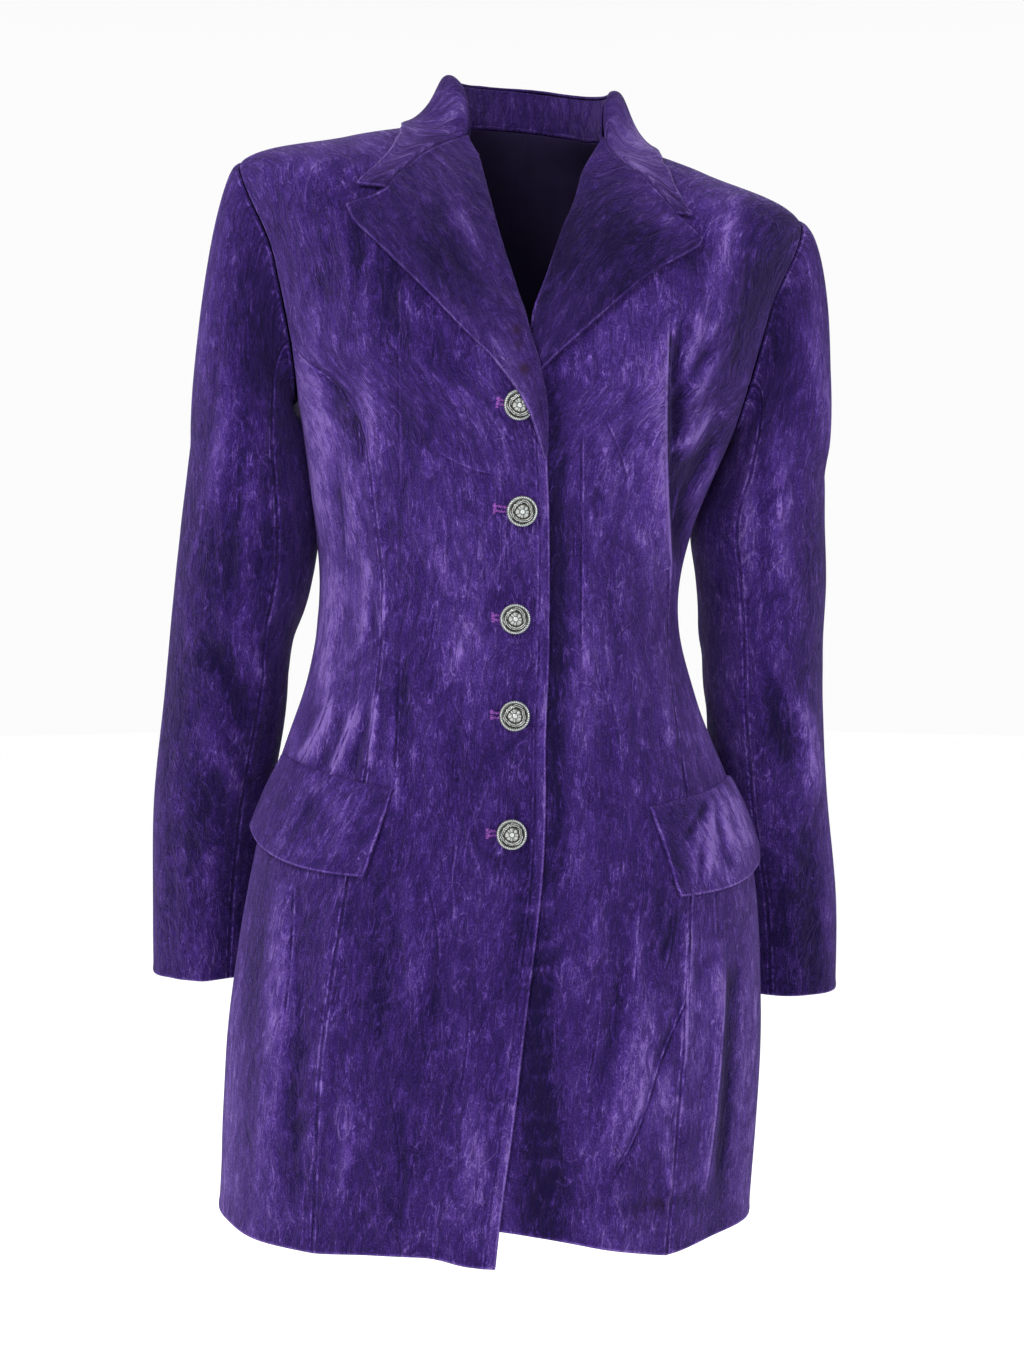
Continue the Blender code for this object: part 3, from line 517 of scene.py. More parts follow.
# %% Outlines
ARMHOLE = np.array([
    # phi     a      t
    [0.0, SHOULDER_A, 2.86],
    [30.0, 82.5, 3.10],
    [60.0, 77.5, 3.62],
    [90.0, 77.0, 4.12],
    [120.0, 78.5, 4.66],
    [150.0, 82.5, 5.02],
    [180.0, 92.0, 5.16],
    [210.0, 103.0, 5.00],
    [240.0, 109.5, 4.55],
    [270.0, 111.0, 4.02],
    [300.0, 109.0, 3.52],
    [330.0, 103.5, 3.06],
])
PHI_FRONT = 120.0      # where the front princess seam and the sleeve's front seam start
PHI_BACK = 240.0       # where the back princess seam and the sleeve's elbow seam start

RIGHT_FRONT_SEAM = [(50.5, 11.0), (51.5, 10.2), (50.0, 9.4), (48.5, 8.5), (48.5, 7.6), (48.5, 6.8),
                    (49.0, 6.0), (52.0, 5.4), (60.0, 5.0), (70.0, 4.82), (78.5, 4.66)]
LEFT_FRONT_SEAM = [(47.0, 11.0), (49.0, 10.2), (50.5, 9.4), (56.0, 8.5), (64.0, 7.6), (68.5, 6.8),
                   (64.0, 6.0), (59.0, 5.4), (62.0, 4.98), (70.0, 4.80), (78.5, 4.66)]
SIDE_SEAM = [(91.0, 11.0), (91.0, 9.4), (91.0, 8.0), (91.5, 6.5), (92.0, 5.16)]
BACK_SEAM = [(136.0, 11.0), (137.0, 9.4), (139.0, 8.0), (139.0, 7.0), (134.0, 5.9),
             (123.0, 5.05), (109.5, 4.55)]
CENTRE_BACK = [(180.0, 11.0), (180.0, 8.0), (180.0, 5.2), (180.0, 4.6)]
RIGHT_EDGE = [(-1.5, 11.0), (-0.3, 10.7), (2.0, 10.3), (4.3, 9.75), (6.4, 9.26), (7.8, 8.8),
              (9.5, 8.3), (12.5, 7.7), (14.2, 7.2), (14.0, 6.62), (11.2, 5.96), (7.6, 5.5),
              (4.6, 5.0), (2.6, 4.7)]
RIGHT_ROLL = [(2.6, 4.7), (0.6, 4.32), (-2.3, 3.92), (-5.0, 3.50), (-8.4, 3.06), (-15.8, 2.42),
              (-25.5, 1.72), (-40.0, 1.06)]
LEFT_EDGE = [(-10.0, 10.83), (-8.0, 9.6), (-6.0, 8.6), (-7.0, 7.6), (-8.0, 6.6), (-8.0, 5.9),
             (-7.5, 5.4), (-6.5, 5.0), (-5.4, 4.75)]
LEFT_ROLL = [(-5.4, 4.75), (-4.0, 4.36), (-2.0, 3.92), (-0.4, 3.55), (5.2, 2.95), (10.0, 2.3),
             (18.0, 1.60), (38.0, 1.02)]
RIGHT_HEM = [(-1.5, 11.0), (-9.0, 10.99), (-20.0, 10.96), (-34.0, 10.97), (-50.5, 11.0)]
LEFT_HEM = [(-10.0, 10.83), (0.0, 10.84), (15.0, 10.89), (31.0, 10.96), (47.0, 11.05)]
HEM_T = {"right": HEM_RING, "left": 11.05}  # how far each half hangs, in rings

FINE = np.array([0.0, 0.3, 0.8, 1.5, 2.5, 4.0, 6.0]) * MM      # spacing next to a rim
STEP_ROUND, STEP_DOWN = 0.0036, 0.0048                         # spacing elsewhere


def shares(length, step, fine_start=True, fine_end=True):
    """Places from 0 to 1 along a length, closer together at its ends."""
    start = FINE if fine_start else FINE[:1]
    end = FINE if fine_end else FINE[:1]
    middle = length - start[-1] - end[-1]
    count = max(int(round(middle / step)), 2)
    inner = start[-1] + middle * np.arange(1, count) / count
    return np.concatenate([start, inner, (length - end)[::-1]]) / length


def curve_length(rows):
    """Length in metres of the smooth curve through (a, t) rows on the body."""
    q = spline(rows, np.linspace(0, len(rows) - 1, 40 * len(rows)))
    p = body_base(q[:, 0], q[:, 1])
    return float(np.linalg.norm(np.diff(p, axis=0), axis=1).sum())


def trace(rows, at):
    """Points along a smooth curve through (a, t) rows, at these shares of its length."""
    rows = np.asarray(rows, float)
    q = spline(rows, np.linspace(0, len(rows) - 1, 40 * len(rows)))
    p = body_base(q[:, 0], q[:, 1])
    d = np.concatenate([[0], np.cumsum(np.linalg.norm(np.diff(p, axis=0), axis=1))])
    want = np.asarray(at) * d[-1]
    return np.stack([np.interp(want, d, q[:, 0]), np.interp(want, d, q[:, 1])], -1)


def armhole(phi):
    """(a, t) of the wearer's left armhole at phi."""
    wrapped = np.vstack([ARMHOLE[-1:], ARMHOLE, ARMHOLE[:2]])[:, 1:]
    return spline(wrapped, (np.asarray(phi, float) % 360) / 30.0 + 1)


def turned(rows, side):
    """(a, t) rows for the wearer's left (+1) or right (-1) half."""
    return np.asarray(rows, float) * np.array([side, 1.0])


def coons(left, right, low, high, up, along):
    """(a, t) grid between four edges; left and right run upward, low and high run along."""
    v, u = up[:, None, None], along[None, :, None]
    corner = ((1 - u) * (1 - v) * low[0] + u * (1 - v) * low[-1]
              + (1 - u) * v * high[0] + u * v * high[-1])
    across = (1 - u) * left[:, None] + u * right[:, None]
    return across + (1 - v) * low[None] + v * high[None] - corner


def hem_line(word, a0, a1, side, at):
    """The hem between two angles: level, and on the common ring at centre back."""
    t0, t1 = (HEM_T[word] if a < 170.0 else HEM_RING for a in (a0, a1))
    at = np.asarray(at)[:, None]
    return turned((1 - at) * [a0, t0] + at * [a1, t1], side)


print("front edge", round(curve_length(RIGHT_EDGE), 3), "m,",
      "roll line", round(curve_length(RIGHT_ROLL), 3), "m")

# %% [markdown]
# ## Building a wall of cloth
# Each panel becomes one closed mesh: an outer face, an inner face and a rim.  The wall rounds off
# over its last millimetre, so a free edge looks turned rather than cut.  Along a sewn seam the
# outer face sinks a little, as velvet does where the stitches pull it in.  The builder stores
# what the material needs as attributes: the distance to the next seam and edge, the tone, stains
# and a signed distance to a pressed line, which stays sharp between coarse points.

# %% Wall builder
SIDES = ("left", "right", "low", "high")
SEAM_SINK, SEAM_REACH = 0.0006, 0.0026        # depth and reach of a sewn seam
EDGE_ROLL, EDGE_AT, EDGE_WIDE = 0.0005, 0.0035, 0.003     # height, place and width of its ridge
ROUNDED = 0.6          # share of the wall over which a rim rounds off
OPEN_RIM = 0.999       # under 1, so that the two faces never quite meet at a rim
FAR = 1.0              # distance (m) that stands for no seam or edge near by
APART = 0.7            # between the patterns of two pieces
pieces = {}


def run_lengths(points, axis):
    """Distance along a grid's lines from their first point."""
    step = np.linalg.norm(np.diff(points, axis=axis), axis=-1)
    start = np.zeros_like(np.take(step, [0], axis=axis))
    return np.concatenate([start, np.cumsum(step, axis=axis)], axis=axis)


def rim_distances(points):
    """Distance of each grid point to the rim on each side."""
    across, up = run_lengths(points, 1), run_lengths(points, 0)
    return dict(zip(SIDES, (across, across[:, -1:] - across, up, up[-1:] - up)))


def flat_cut(points):
    """Width, length and area of the piece laid flat, from its grid of points."""
    across, up = run_lengths(points, 1), run_lengths(points, 0)
    du, dv = np.diff(points, axis=1), np.diff(points, axis=0)
    area = np.linalg.norm(np.cross(du[:-1], dv[:, :-1]), axis=-1).sum()
    return float(across[:, -1].max()), float(up[-1].max()), float(area)


def quarter_round(d):
    """From nearly 0 at the rim (d = 0) up a quarter circle to 1 (d = 1)."""
    return np.sqrt(1 - (1 - np.clip(d, 0, 1)) ** 2 * OPEN_RIM)


def cloth(name, node, points, normals, rims, slot, layers):
    """A wall of cloth round a grid of points; rims says what each side is: seam, edge or turn."""
    rows, cols = points.shape[:2]
    distance = rim_distances(points)
    round_off, lift = np.ones((rows, cols)), np.zeros((rows, cols))
    sewn, free = np.full((rows, cols), FAR), np.full((rows, cols), FAR)
    for side, kind in rims.items():
        d = distance[side]
        if kind != "seam":
            round_off *= quarter_round(d / (WALL * ROUNDED))
        if kind == "seam":
            lift -= SEAM_SINK * np.exp(-(d / SEAM_REACH) ** 2)
            sewn = np.minimum(sewn, d)
        if kind == "edge":
            lift += EDGE_ROLL * np.exp(-((d - EDGE_AT) / EDGE_WIDE) ** 2)
            free = np.minimum(free, d)
    half = (WALL / 2 * round_off)[..., None]
    outer = points + normals * (half + lift[..., None])
    inner = points - normals * half
    verts = np.concatenate([outer.reshape(-1, 3), inner.reshape(-1, 3)])
    count = rows * cols
    index = np.arange(count).reshape(rows, cols)
    quads = np.stack([index[:-1, :-1], index[:-1, 1:], index[1:, 1:], index[1:, :-1]], -1)
    quads = quads.reshape(-1, 4)
    rim = np.concatenate([index[0, :], index[1:, -1], index[-1, -2::-1], index[-2:0:-1, 0]])
    after = np.roll(rim, -1)
    walls = np.stack([after, rim, rim + count, after + count], -1)
    faces = np.concatenate([quads, quads[:, ::-1] + count, walls])
    middle = quads[len(quads) // 2]
    turn = np.cross(verts[middle[1]] - verts[middle[0]], verts[middle[2]] - verts[middle[0]])
    if np.dot(turn, normals.reshape(-1, 3)[middle[0]]) < 0:
        faces = faces[:, ::-1]
    mesh = bpy.data.meshes.new(name)
    mesh.vertices.add(len(verts))
    mesh.vertices.foreach_set("co", verts.astype(np.float32).ravel())
    mesh.loops.add(faces.size)
    mesh.loops.foreach_set("vertex_index", faces.astype(np.int32).ravel())
    mesh.polygons.add(len(faces))
    mesh.polygons.foreach_set("loop_start", np.arange(0, faces.size, 4, dtype=np.int32))
    inside = np.zeros(len(faces), np.int32)
    inside[len(quads):2 * len(quads)] = 1
    mesh.polygons.foreach_set("material_index", inside)
    mesh.update(calc_edges=True)
    mesh.validate()
    mesh.shade_smooth()

    # the cloth's own coordinates in metres, moved apart so that no two pieces share a pattern
    across, up = run_lengths(points, 1), run_lengths(points, 0)
    shift = APART * len(pieces)
    uv = np.stack([across - across[:, cols // 2][:, None] + shift, up], -1).reshape(-1, 2)
    uv = np.concatenate([uv, uv])
    layer = mesh.uv_layers.new(name="cloth")
    layer.data.foreach_set("uv", uv[faces.ravel()].astype(np.float32).ravel())
    layers = {"sewn": sewn, "free": free, **layers}
    for key in ("sewn", "free", "tone", "stain", "line", "pressed"):
        value = np.broadcast_to(layers.get(key, 0.0), (rows, cols)).reshape(-1)
        store(mesh, key, np.concatenate([value, value]))
    pieces[name] = {"object": placed(name, mesh), "node": node, "slot": slot,
                    "cut": flat_cut(points)}
    print(name, rows, "x", cols, "cut %.3f x %.3f m, %.4f m2" % pieces[name]["cut"])


# %% [markdown]
# ## The eight body panels
# Front, side front, side back and back for each half.  The right front stands off a little so
# that it laps over the left one and over the left lapel's end.  Adjoining panels are worked out
# from the same seam, so their rims meet.

# %% Body panels
PRESS_IN, PRESS_HIGH = 0.010, 0.0005    # the pressed line: how far inside the front edge, height
PRESS_SHARE, PRESS_TONE = 0.7, 0.30     # how strongly it shows, and how light the cloth outside
LINE_WIDE = 0.002                       # half width of the relief of a dart or crease
LINE_DIP = {"dart": 0.0008, "crease": -0.0005}      # a dart sinks in, a crease stands up
LINE_REACH = 0.004                      # a line's distance is kept this far to both sides
SEWN = {"left": "seam", "right": "seam", "low": "edge", "high": "seam"}


def right_lift(a, t):
    """How far the right front stands off so that it laps over the left front and its lapel."""
    near_edge = smooth((a + 24.0) / 12.0)
    lapel = smooth((5.35 - t) / 0.45) * smooth((a + 22.0) / 12.0) * smooth((t - 3.3) / 0.5)
    return near_edge * 0.0032 * smooth((t - 3.2) / 0.6) + 0.0036 * lapel


def panel(name, grid, rims, lift=None, press=None, stains=()):
    """One body panel on a grid of (a, t)."""
    a, t = grid[..., 0], grid[..., 1]
    relief, tone = body_relief(a, t)
    off = lift(a, t) if lift else 0.0
    base, normals = on_body(a, t)
    points = base + normals * (off + relief)[..., None]
    line, pressed = np.zeros(a.shape), np.zeros(a.shape)
    if press:
        line = rim_distances(points)[press] - PRESS_IN
        pressed = PRESS_SHARE * smooth(2 - np.abs(line) / LINE_REACH)
        tone = tone + PRESS_TONE * smooth(-line / LINE_WIDE)
        points = points + normals * (PRESS_HIGH * np.exp(-(line / 0.0018) ** 2))[..., None]
    for row in LINES.get(name.replace("_cloth", ""), ()):
        distance, share = to_line(*pixel(points), row)
        share = share * row[5] * facing_camera(points, normals)
        line = np.where(share > pressed, distance, line)
        pressed = np.maximum(share, pressed)
        dip = LINE_DIP[row[6]] * np.minimum(share, 1) * np.exp(-(distance / LINE_WIDE) ** 2)
        points = points - normals * dip[..., None]
    layers = {"tone": tone, "line": line, "pressed": pressed, "stain": stained(points, stains)}
    cloth(name, name.replace("_cloth", ""), points, normals, rims, "velvet", layers)


def to_line(x, y, row):
    """Signed distance (m) to a line between two pixels, and how much of the line is there."""
    x0, y0, x1, y1, bow = row[:5]
    dx, dy = x1 - x0, y1 - y0
    length = math.hypot(dx, dy)
    k = ((x - x0) * dx + (y - y0) * dy) / length ** 2
    side = (((x - x0) * dy - (y - y0) * dx) / length - bow * 4 * k * (1 - k)) / METRE_PX
    ends = smooth(np.minimum(k, 1 - k) * length / 20 + 0.5)
    return side, ends * smooth(2 - np.abs(side) / LINE_REACH)


def stained(points, spots):
    """How dark the stains are at points: soft spots round pixels."""
    x, y = pixel(points)
    out = np.zeros(x.shape)
    for px, py, wide, high, strength in spots:
        out = np.maximum(out, strength * np.exp(-((x - px) / wide) ** 2 - ((y - py) / high) ** 2))
    return out


HEM_STAINS = [(655, 1203, 16, 5, 0.35), (690, 1212, 20, 6, 0.4), (672, 1196, 8, 4, 0.3),
              (640, 1215, 9, 5, 0.2)]
LINES = {
    # x0  y0   x1   y1  bow strength kind    (painted highlight on the line, painted shade to the left of its run)
    "right_front": [
        (399.5, 322, 401.5, 486, 0, 0.6, "dart"), (402, 655, 396, 802, 0, 0.7, "dart"),
        (384, 584, 383, 640, 0, 1.1, "crease"), (440, 452, 492, 473, -3, 0.6, "crease"),
        (436, 610, 424, 668, 3, 0.5, "crease"), (474, 560, 462, 620, 2, 0.5, "crease"),
        (452, 700, 470, 742, 2, 0.5, "crease"), (428, 880, 440, 960, 3, 0.6, "crease"),
        (470, 1010, 462, 1090, 2, 0.6, "crease"), (392, 1090, 402, 1180, 2, 0.6, "crease"),
    ],
    "right_side_front": [
        (359, 703, 331, 776, 2, 1.7, "crease"), (333, 698, 303, 763, 3, 1.3, "crease"),
        (352, 392, 362, 452, 2, 0.9, "crease"), (340, 470, 348, 560, 2, 0.8, "crease"),
        (296, 885, 288, 1010, 2, 0.9, "crease"),
    ],
    "left_front": [
        (670, 566, 668, 330, 3, 3.4, "crease"), (669, 572, 680, 752, -2, 1.6, "crease"),
        (684, 762, 686, 798, 0, 1.0, "dart"), (583, 436, 582, 642, 0, 0.8, "crease"),
        (606, 420, 628, 478, 2, 0.6, "crease"), (612, 700, 622, 770, 2, 0.6, "crease"),
        (645, 1108, 689, 992, 4, 1.3, "crease"), (612, 1176, 643, 1112, -2, 1.1, "crease"),
        (600, 1010, 588, 1090, 2, 0.7, "crease"), (633, 984, 638, 914, 0, 0.9, "crease"),
        (664, 968, 673, 916, -1, 0.9, "crease"),
    ],
    "left_side_front": [
        (676, 396, 700, 308, -2, 1.5, "crease"), (671, 455, 714, 398, -5, 1.6, "crease"),
        (684, 404, 714, 348, 3, 1.0, "crease"), (685, 1060, 688, 922, 0, 1.3, "crease"),
        (706, 1176, 724, 978, -3, 1.3, "crease"), (715, 934, 712, 884, 0, 0.8, "crease"),
    ],
}


HIGH_LENGTH, BACK_WIDE, SIDE_WIDE = 0.24, 0.19, 0.12     # lengths (m) that the steps divide
NECK_FROM = 0.62       # share of a front's inner side that is roll line; above it the neck begins
SHOULDER_T = (2.86, 2.4, 1.9, 1.45, 1.0)                 # the shoulder seam, from arm to neck


def half_panels(side, word, edge, roll, hem, seam, lift):
    """Front, side front, side back and back of one half; grids run from hem to shoulder."""
    seam, side_seam, back_seam, centre = (
        turned([(rows[0][0], rows[0][1] if rows is CENTRE_BACK else HEM_T[word])] + rows[1:], side)
        for rows in (seam, SIDE_SEAM, BACK_SEAM, CENTRE_BACK))
    low_up = shares(curve_length(side_seam), STEP_DOWN)
    high_up = shares(HIGH_LENGTH, STEP_DOWN, fine_start=False)
    front_seam, side_line, back_line = (
        trace(rows, low_up) for rows in (seam, side_seam, back_seam))
    hole = lambda lo, hi, at: turned(armhole(lo + (hi - lo) * np.asarray(at)), side)
    shoulder = turned([(SHOULDER_A, t) for t in SHOULDER_T], side)

    # front: the edge, roll line and neck on one side, the seam and armhole on the other
    along = shares(curve_length(hem), STEP_ROUND)
    on_roll = high_up <= NECK_FROM
    neck = trace([roll[-1], (side * 66.0, 1.0), (side * SHOULDER_A, 1.0)],
                 (high_up[~on_roll] - NECK_FROM) / (1 - NECK_FROM))
    middle_left = trace(edge, [1.0])[0]
    middle = (1 - along[:, None]) * middle_left + along[:, None] * front_seam[-1]
    lower = coons(trace(edge, low_up), front_seam, trace(hem, along), middle, low_up, along)
    edge_high = np.vstack([trace(roll, high_up[on_roll] / NECK_FROM), neck])
    upper = coons(edge_high, hole(PHI_FRONT, 0.0, high_up), middle, trace(shoulder[::-1], along),
                  high_up, along)
    panel(word + "_front_cloth", np.vstack([lower, upper[1:]]),
          {"left": "edge", "right": "seam", "low": "edge", "high": "seam"}, lift,
          press="left" if word == "right" else None,
          stains=HEM_STAINS if word == "left" else ())

    # side panels, which end in the armhole's lower half
    hem_a = [abs(rows[0][0]) for rows in (seam, side_seam, back_seam, centre)]
    along = shares(SIDE_WIDE, STEP_ROUND)
    for part, a0, a1, fore, aft, lo, hi in (
            ("front", hem_a[0], hem_a[1], front_seam, side_line, PHI_FRONT, 180.0),
            ("back", hem_a[1], hem_a[2], side_line, back_line, 180.0, PHI_BACK)):
        panel("%s_side_%s_cloth" % (word, part),
              coons(fore, aft, hem_line(word, a0, a1, side, along), hole(lo, hi, along),
                    low_up, along), SEWN)

    # back: its top edge runs along the shoulder and then round the back of the neck
    along = shares(BACK_WIDE, STEP_ROUND)
    middle_right = trace(centre, [1.0])[0]
    middle = (1 - along[:, None]) * back_line[-1] + along[:, None] * middle_right
    lower = coons(back_line, trace(centre, low_up),
                  hem_line(word, hem_a[2], hem_a[3], side, along), middle, low_up, along)
    half = along <= 0.5
    nape = trace(turned([(a, 1.0) for a in (SHOULDER_A, 120.0, 150.0, 180.0)], side),
                 (along[~half] - 0.5) / 0.5)
    top = np.vstack([trace(shoulder, along[half] / 0.5), nape])
    spine = turned([(180.0, t) for t in (4.6, 3.6, 2.2, 1.0)], side)
    upper = coons(hole(PHI_BACK, 360.0, high_up), trace(spine, high_up), middle, top,
                  high_up, along)
    panel(word + "_back_cloth", np.vstack([lower, upper[1:]]), SEWN)


half_panels(-1, "right", RIGHT_EDGE, RIGHT_ROLL, RIGHT_HEM, RIGHT_FRONT_SEAM, right_lift)
half_panels(1, "left", LEFT_EDGE, LEFT_ROLL, LEFT_HEM, LEFT_FRONT_SEAM, None)

# %% [markdown]
# ## The sleeves
# Each sleeve is cut in two, as a tailored sleeve is: a top sleeve over the shoulder side and a
# narrower under sleeve inside.  The cap leaves the armhole sideways and turns down into a tube
# that bends at the elbow.  The rings of the arm are tables, the cap is a curve between two ends.

# %% Sleeve surface
RIGHT_ARM = np.array([
    # z       x        y      rx      ry
    [-0.238, -0.2262, 0.012, 0.0408, 0.0570],
    [-0.290, -0.2262, 0.017, 0.0483, 0.0580],
    [-0.335, -0.2285, 0.023, 0.0515, 0.0575],
    [-0.390, -0.2372, 0.032, 0.0495, 0.0555],
    [-0.440, -0.2425, 0.043, 0.0505, 0.0535],
    [-0.520, -0.2565, 0.062, 0.0465, 0.0480],
    [-0.600, -0.2640, 0.080, 0.0430, 0.0430],
    [-0.670, -0.2680, 0.092, 0.0410, 0.0395],
])
LEFT_ARM = np.array([
    [-0.262, 0.1845, 0.012, 0.0440, 0.0570],
    [-0.300, 0.1790, 0.017, 0.0520, 0.0580],
    [-0.345, 0.1835, 0.024, 0.0510, 0.0575],
    [-0.400, 0.1872, 0.033, 0.0475, 0.0555],
    [-0.450, 0.1910, 0.043, 0.0465, 0.0530],
    [-0.530, 0.2020, 0.062, 0.0455, 0.0480],
    [-0.615, 0.2175, 0.080, 0.0430, 0.0430],
    [-0.694, 0.2235, 0.092, 0.0410, 0.0395],
])
CAP = 0.30             # share of the sleeve's length, along s, that the cap takes
GAP = 0.0003           # air between two pieces that touch
REACH = {-1: 0.048, 1: 0.078}      # how far the cap goes sideways at the shoulder, right and left
REACH_LOW = 0.020                  # and under the arm


def sleeve(side, phi, s):
    """Middle surface of a sleeve: phi as on the armhole, s from the armhole (0) to the cuff (1)."""
    phi, s = np.broadcast_arrays(np.asarray(phi, float), np.asarray(s, float))
    arm = RIGHT_ARM if side < 0 else LEFT_ARM
    u = np.clip((s - CAP) / (1 - CAP), 0, None) * (len(arm) - 1)
    z, x, y, rx, ry = np.moveaxis(spline(arm, u), -1, 0)
    co, si = np.cos(np.radians(phi)), np.sin(np.radians(phi))
    tube = np.stack([x + side * rx * co, y - ry * si, z], -1)
    # the cap: a curve from the armhole that leaves sideways and ends straight down
    at = armhole(phi)
    a, t = at[..., 0] * side, at[..., 1]
    start, n = on_body(a, t)
    nxt, prv = armhole(phi + 1.0), armhole(phi - 1.0)
    along = unit(folded(nxt[..., 0] * side, nxt[..., 1]) - folded(prv[..., 0] * side, prv[..., 1]))
    into = unit(np.cross(along, n)) * -side
    low = smooth((-co - 0.15) / 0.85)[..., None]
    sideways, lifted = np.array([side * 1.0, 0.0, 0.0]), np.array([0, 0, 0.45])
    lead = unit(into * (0.45 + 0.45 * co[..., None]) + sideways + n * 0.15
                + lifted * np.clip(co, 0, 1)[..., None] ** 2)
    facing = np.clip((lead * into).sum(-1, keepdims=True), 0, 1)
    start = start + lead * GAP * 3.0 + (1 - facing) * (WALL / 2 + 2 * GAP) * n
    reach = REACH[side] * (1 - low) + REACH_LOW * low
    down = unit(arm[1, [1, 2, 0]] - arm[0, [1, 2, 0]])
    f = np.clip(s / CAP, 0, 1)[..., None]
    first = np.stack([arm[0, 1] + side * arm[0, 3] * co, arm[0, 2] - arm[0, 4] * si,
                      np.full(co.shape, arm[0, 0])], -1)
    fall = np.linalg.norm(first - start, axis=-1, keepdims=True)
    cap = hermite(f, start, lead * reach, first, down * fall * 0.9)
    return np.where((s < CAP)[..., None], cap, tube)


RESTS = (0.0190, 204.0, 42.0, 0.270, 0.175)     # height, then middle and width in phi and in s
LEAVES = (0.0055, 190.0, 50.0, 0.66, 0.10)


def sleeve_fullness(side, phi, s):
    """The right sleeve rests on the bodice above the elbow and leaves it below (m)."""
    if side > 0:
        return 0.0
    rests, leaves = (high * np.exp(-(half_turn(phi - at) / wide) ** 2)
                     * np.exp(-((s - down) / long) ** 2)
                     for high, at, wide, down, long in (RESTS, LEAVES))
    return rests * smooth((s - 0.10) / 0.10) - leaves


def sleeve_outward(side, phi, s):
    """Unit normal of a sleeve, pointing away from the arm."""
    pa = sleeve(side, phi + 0.5, s) - sleeve(side, phi - 0.5, s)
    low, high = np.maximum(s - 0.004, 0.0), np.minimum(s + 0.004, 1.0)
    pt = sleeve(side, phi, high) - sleeve(side, phi, low)
    return unit(np.cross(pa, pt)) * side


# %% Sleeves
# The tones below paint light on the sleeves' ridges and shade in their troughs and over their
# darker sides, together with the nap's own patches.
SLEEVE_MARKS = {
    # x0   y0   x1   y1   bow  width height tone
    "right": [
        (232, 330, 212, 520, 4, 10, 2.0, 0.20),
        (262, 400, 246, 640, -5, 9, 2.0, 0.30),
        (215, 600, 262, 690, 6, 8, 2.2, 0.30),
        (208, 640, 246, 730, 5, 8, -2.0, -0.30),
        (200, 720, 240, 800, 4, 9, 1.8, 0.30),
        (214, 820, 196, 1040, 3, 11, 1.8, 0.30),
        (178, 820, 168, 1010, -3, 10, -1.6, -0.25),
    ],
    "left": [
        (806, 320, 828, 470, 5, 10, 2.0, 0.35),
        (780, 420, 786, 600, -4, 9, 2.0, 0.30),
        (800, 700, 812, 800, 5, 9, 2.4, 0.40),
        (768, 640, 806, 720, -5, 8, 2.0, 0.30),
        (764, 690, 800, 760, -4, 8, -2.0, -0.30),
        (836, 760, 850, 960, 4, 11, 1.8, 0.30),
        (804, 830, 812, 1010, 3, 10, -1.6, -0.25),
    ],
}
SLEEVE_NAP_AND_SHADING = {
    "right": [
        (240, 500, 70, 260, 6, -0.42), (190, 820, 70, 160, 3, -0.26), (222, 460, 14, 90, 8, 0.24),
        (205, 330, 10, 70, 8, 0.30), (270, 640, 20, 70, 5, 0.22), (215, 720, 22, 60, 10, 0.18),
        (176, 870, 10, 110, 3, 0.30), (215, 900, 24, 90, 3, -0.15), (250, 280, 26, 70, 0, -0.10),
    ],
    "left": [
        (800, 520, 50, 300, -4, -0.24), (748, 500, 10, 90, -3, 0.50), (814, 300, 12, 60, -8, 0.25),
        (808, 750, 14, 60, 8, 0.30), (775, 700, 12, 70, -8, -0.30), (800, 900, 40, 100, 0, -0.30),
        (828, 860, 8, 90, 0, 0.35), (770, 330, 16, 60, -10, -0.25), (795, 440, 14, 60, 0, 0.20),
    ],
}
HIDDEN_SLEEVE_FOLDS = [
    # phi0  s0    phi1  s1   bow width height tone     (phi, bow and width in degrees)
    (250, 0.40, 286, 0.66, 6, 13, 2.0, 0.3),
    (228, 0.46, 270, 0.72, 6, 11, -1.8, -0.25),
    (205, 0.52, 262, 0.80, 8, 13, 2.2, 0.3),
    (300, 0.34, 306, 0.60, 4, 13, 1.6, 0.25),
    (160, 0.50, 210, 0.60, -6, 10, 1.8, 0.25),
    (150, 0.60, 200, 0.72, -6, 10, -1.8, -0.25),
    (285, 0.70, 270, 0.96, 5, 14, 1.8, 0.3),
    (225, 0.84, 220, 0.98, 3, 12, -1.4, -0.2),
]
SLEEVE_DEG = 500.0     # degrees that the length of a sleeve counts for in the table above
SLEEVE_LONG = 0.62
SLEEVE_CUTS = (("top", PHI_BACK - 360.0, PHI_FRONT, 0.205), ("under", PHI_FRONT, PHI_BACK, 0.11))
BOLDER = 1.35          # the seen marks of the sleeves count for this much


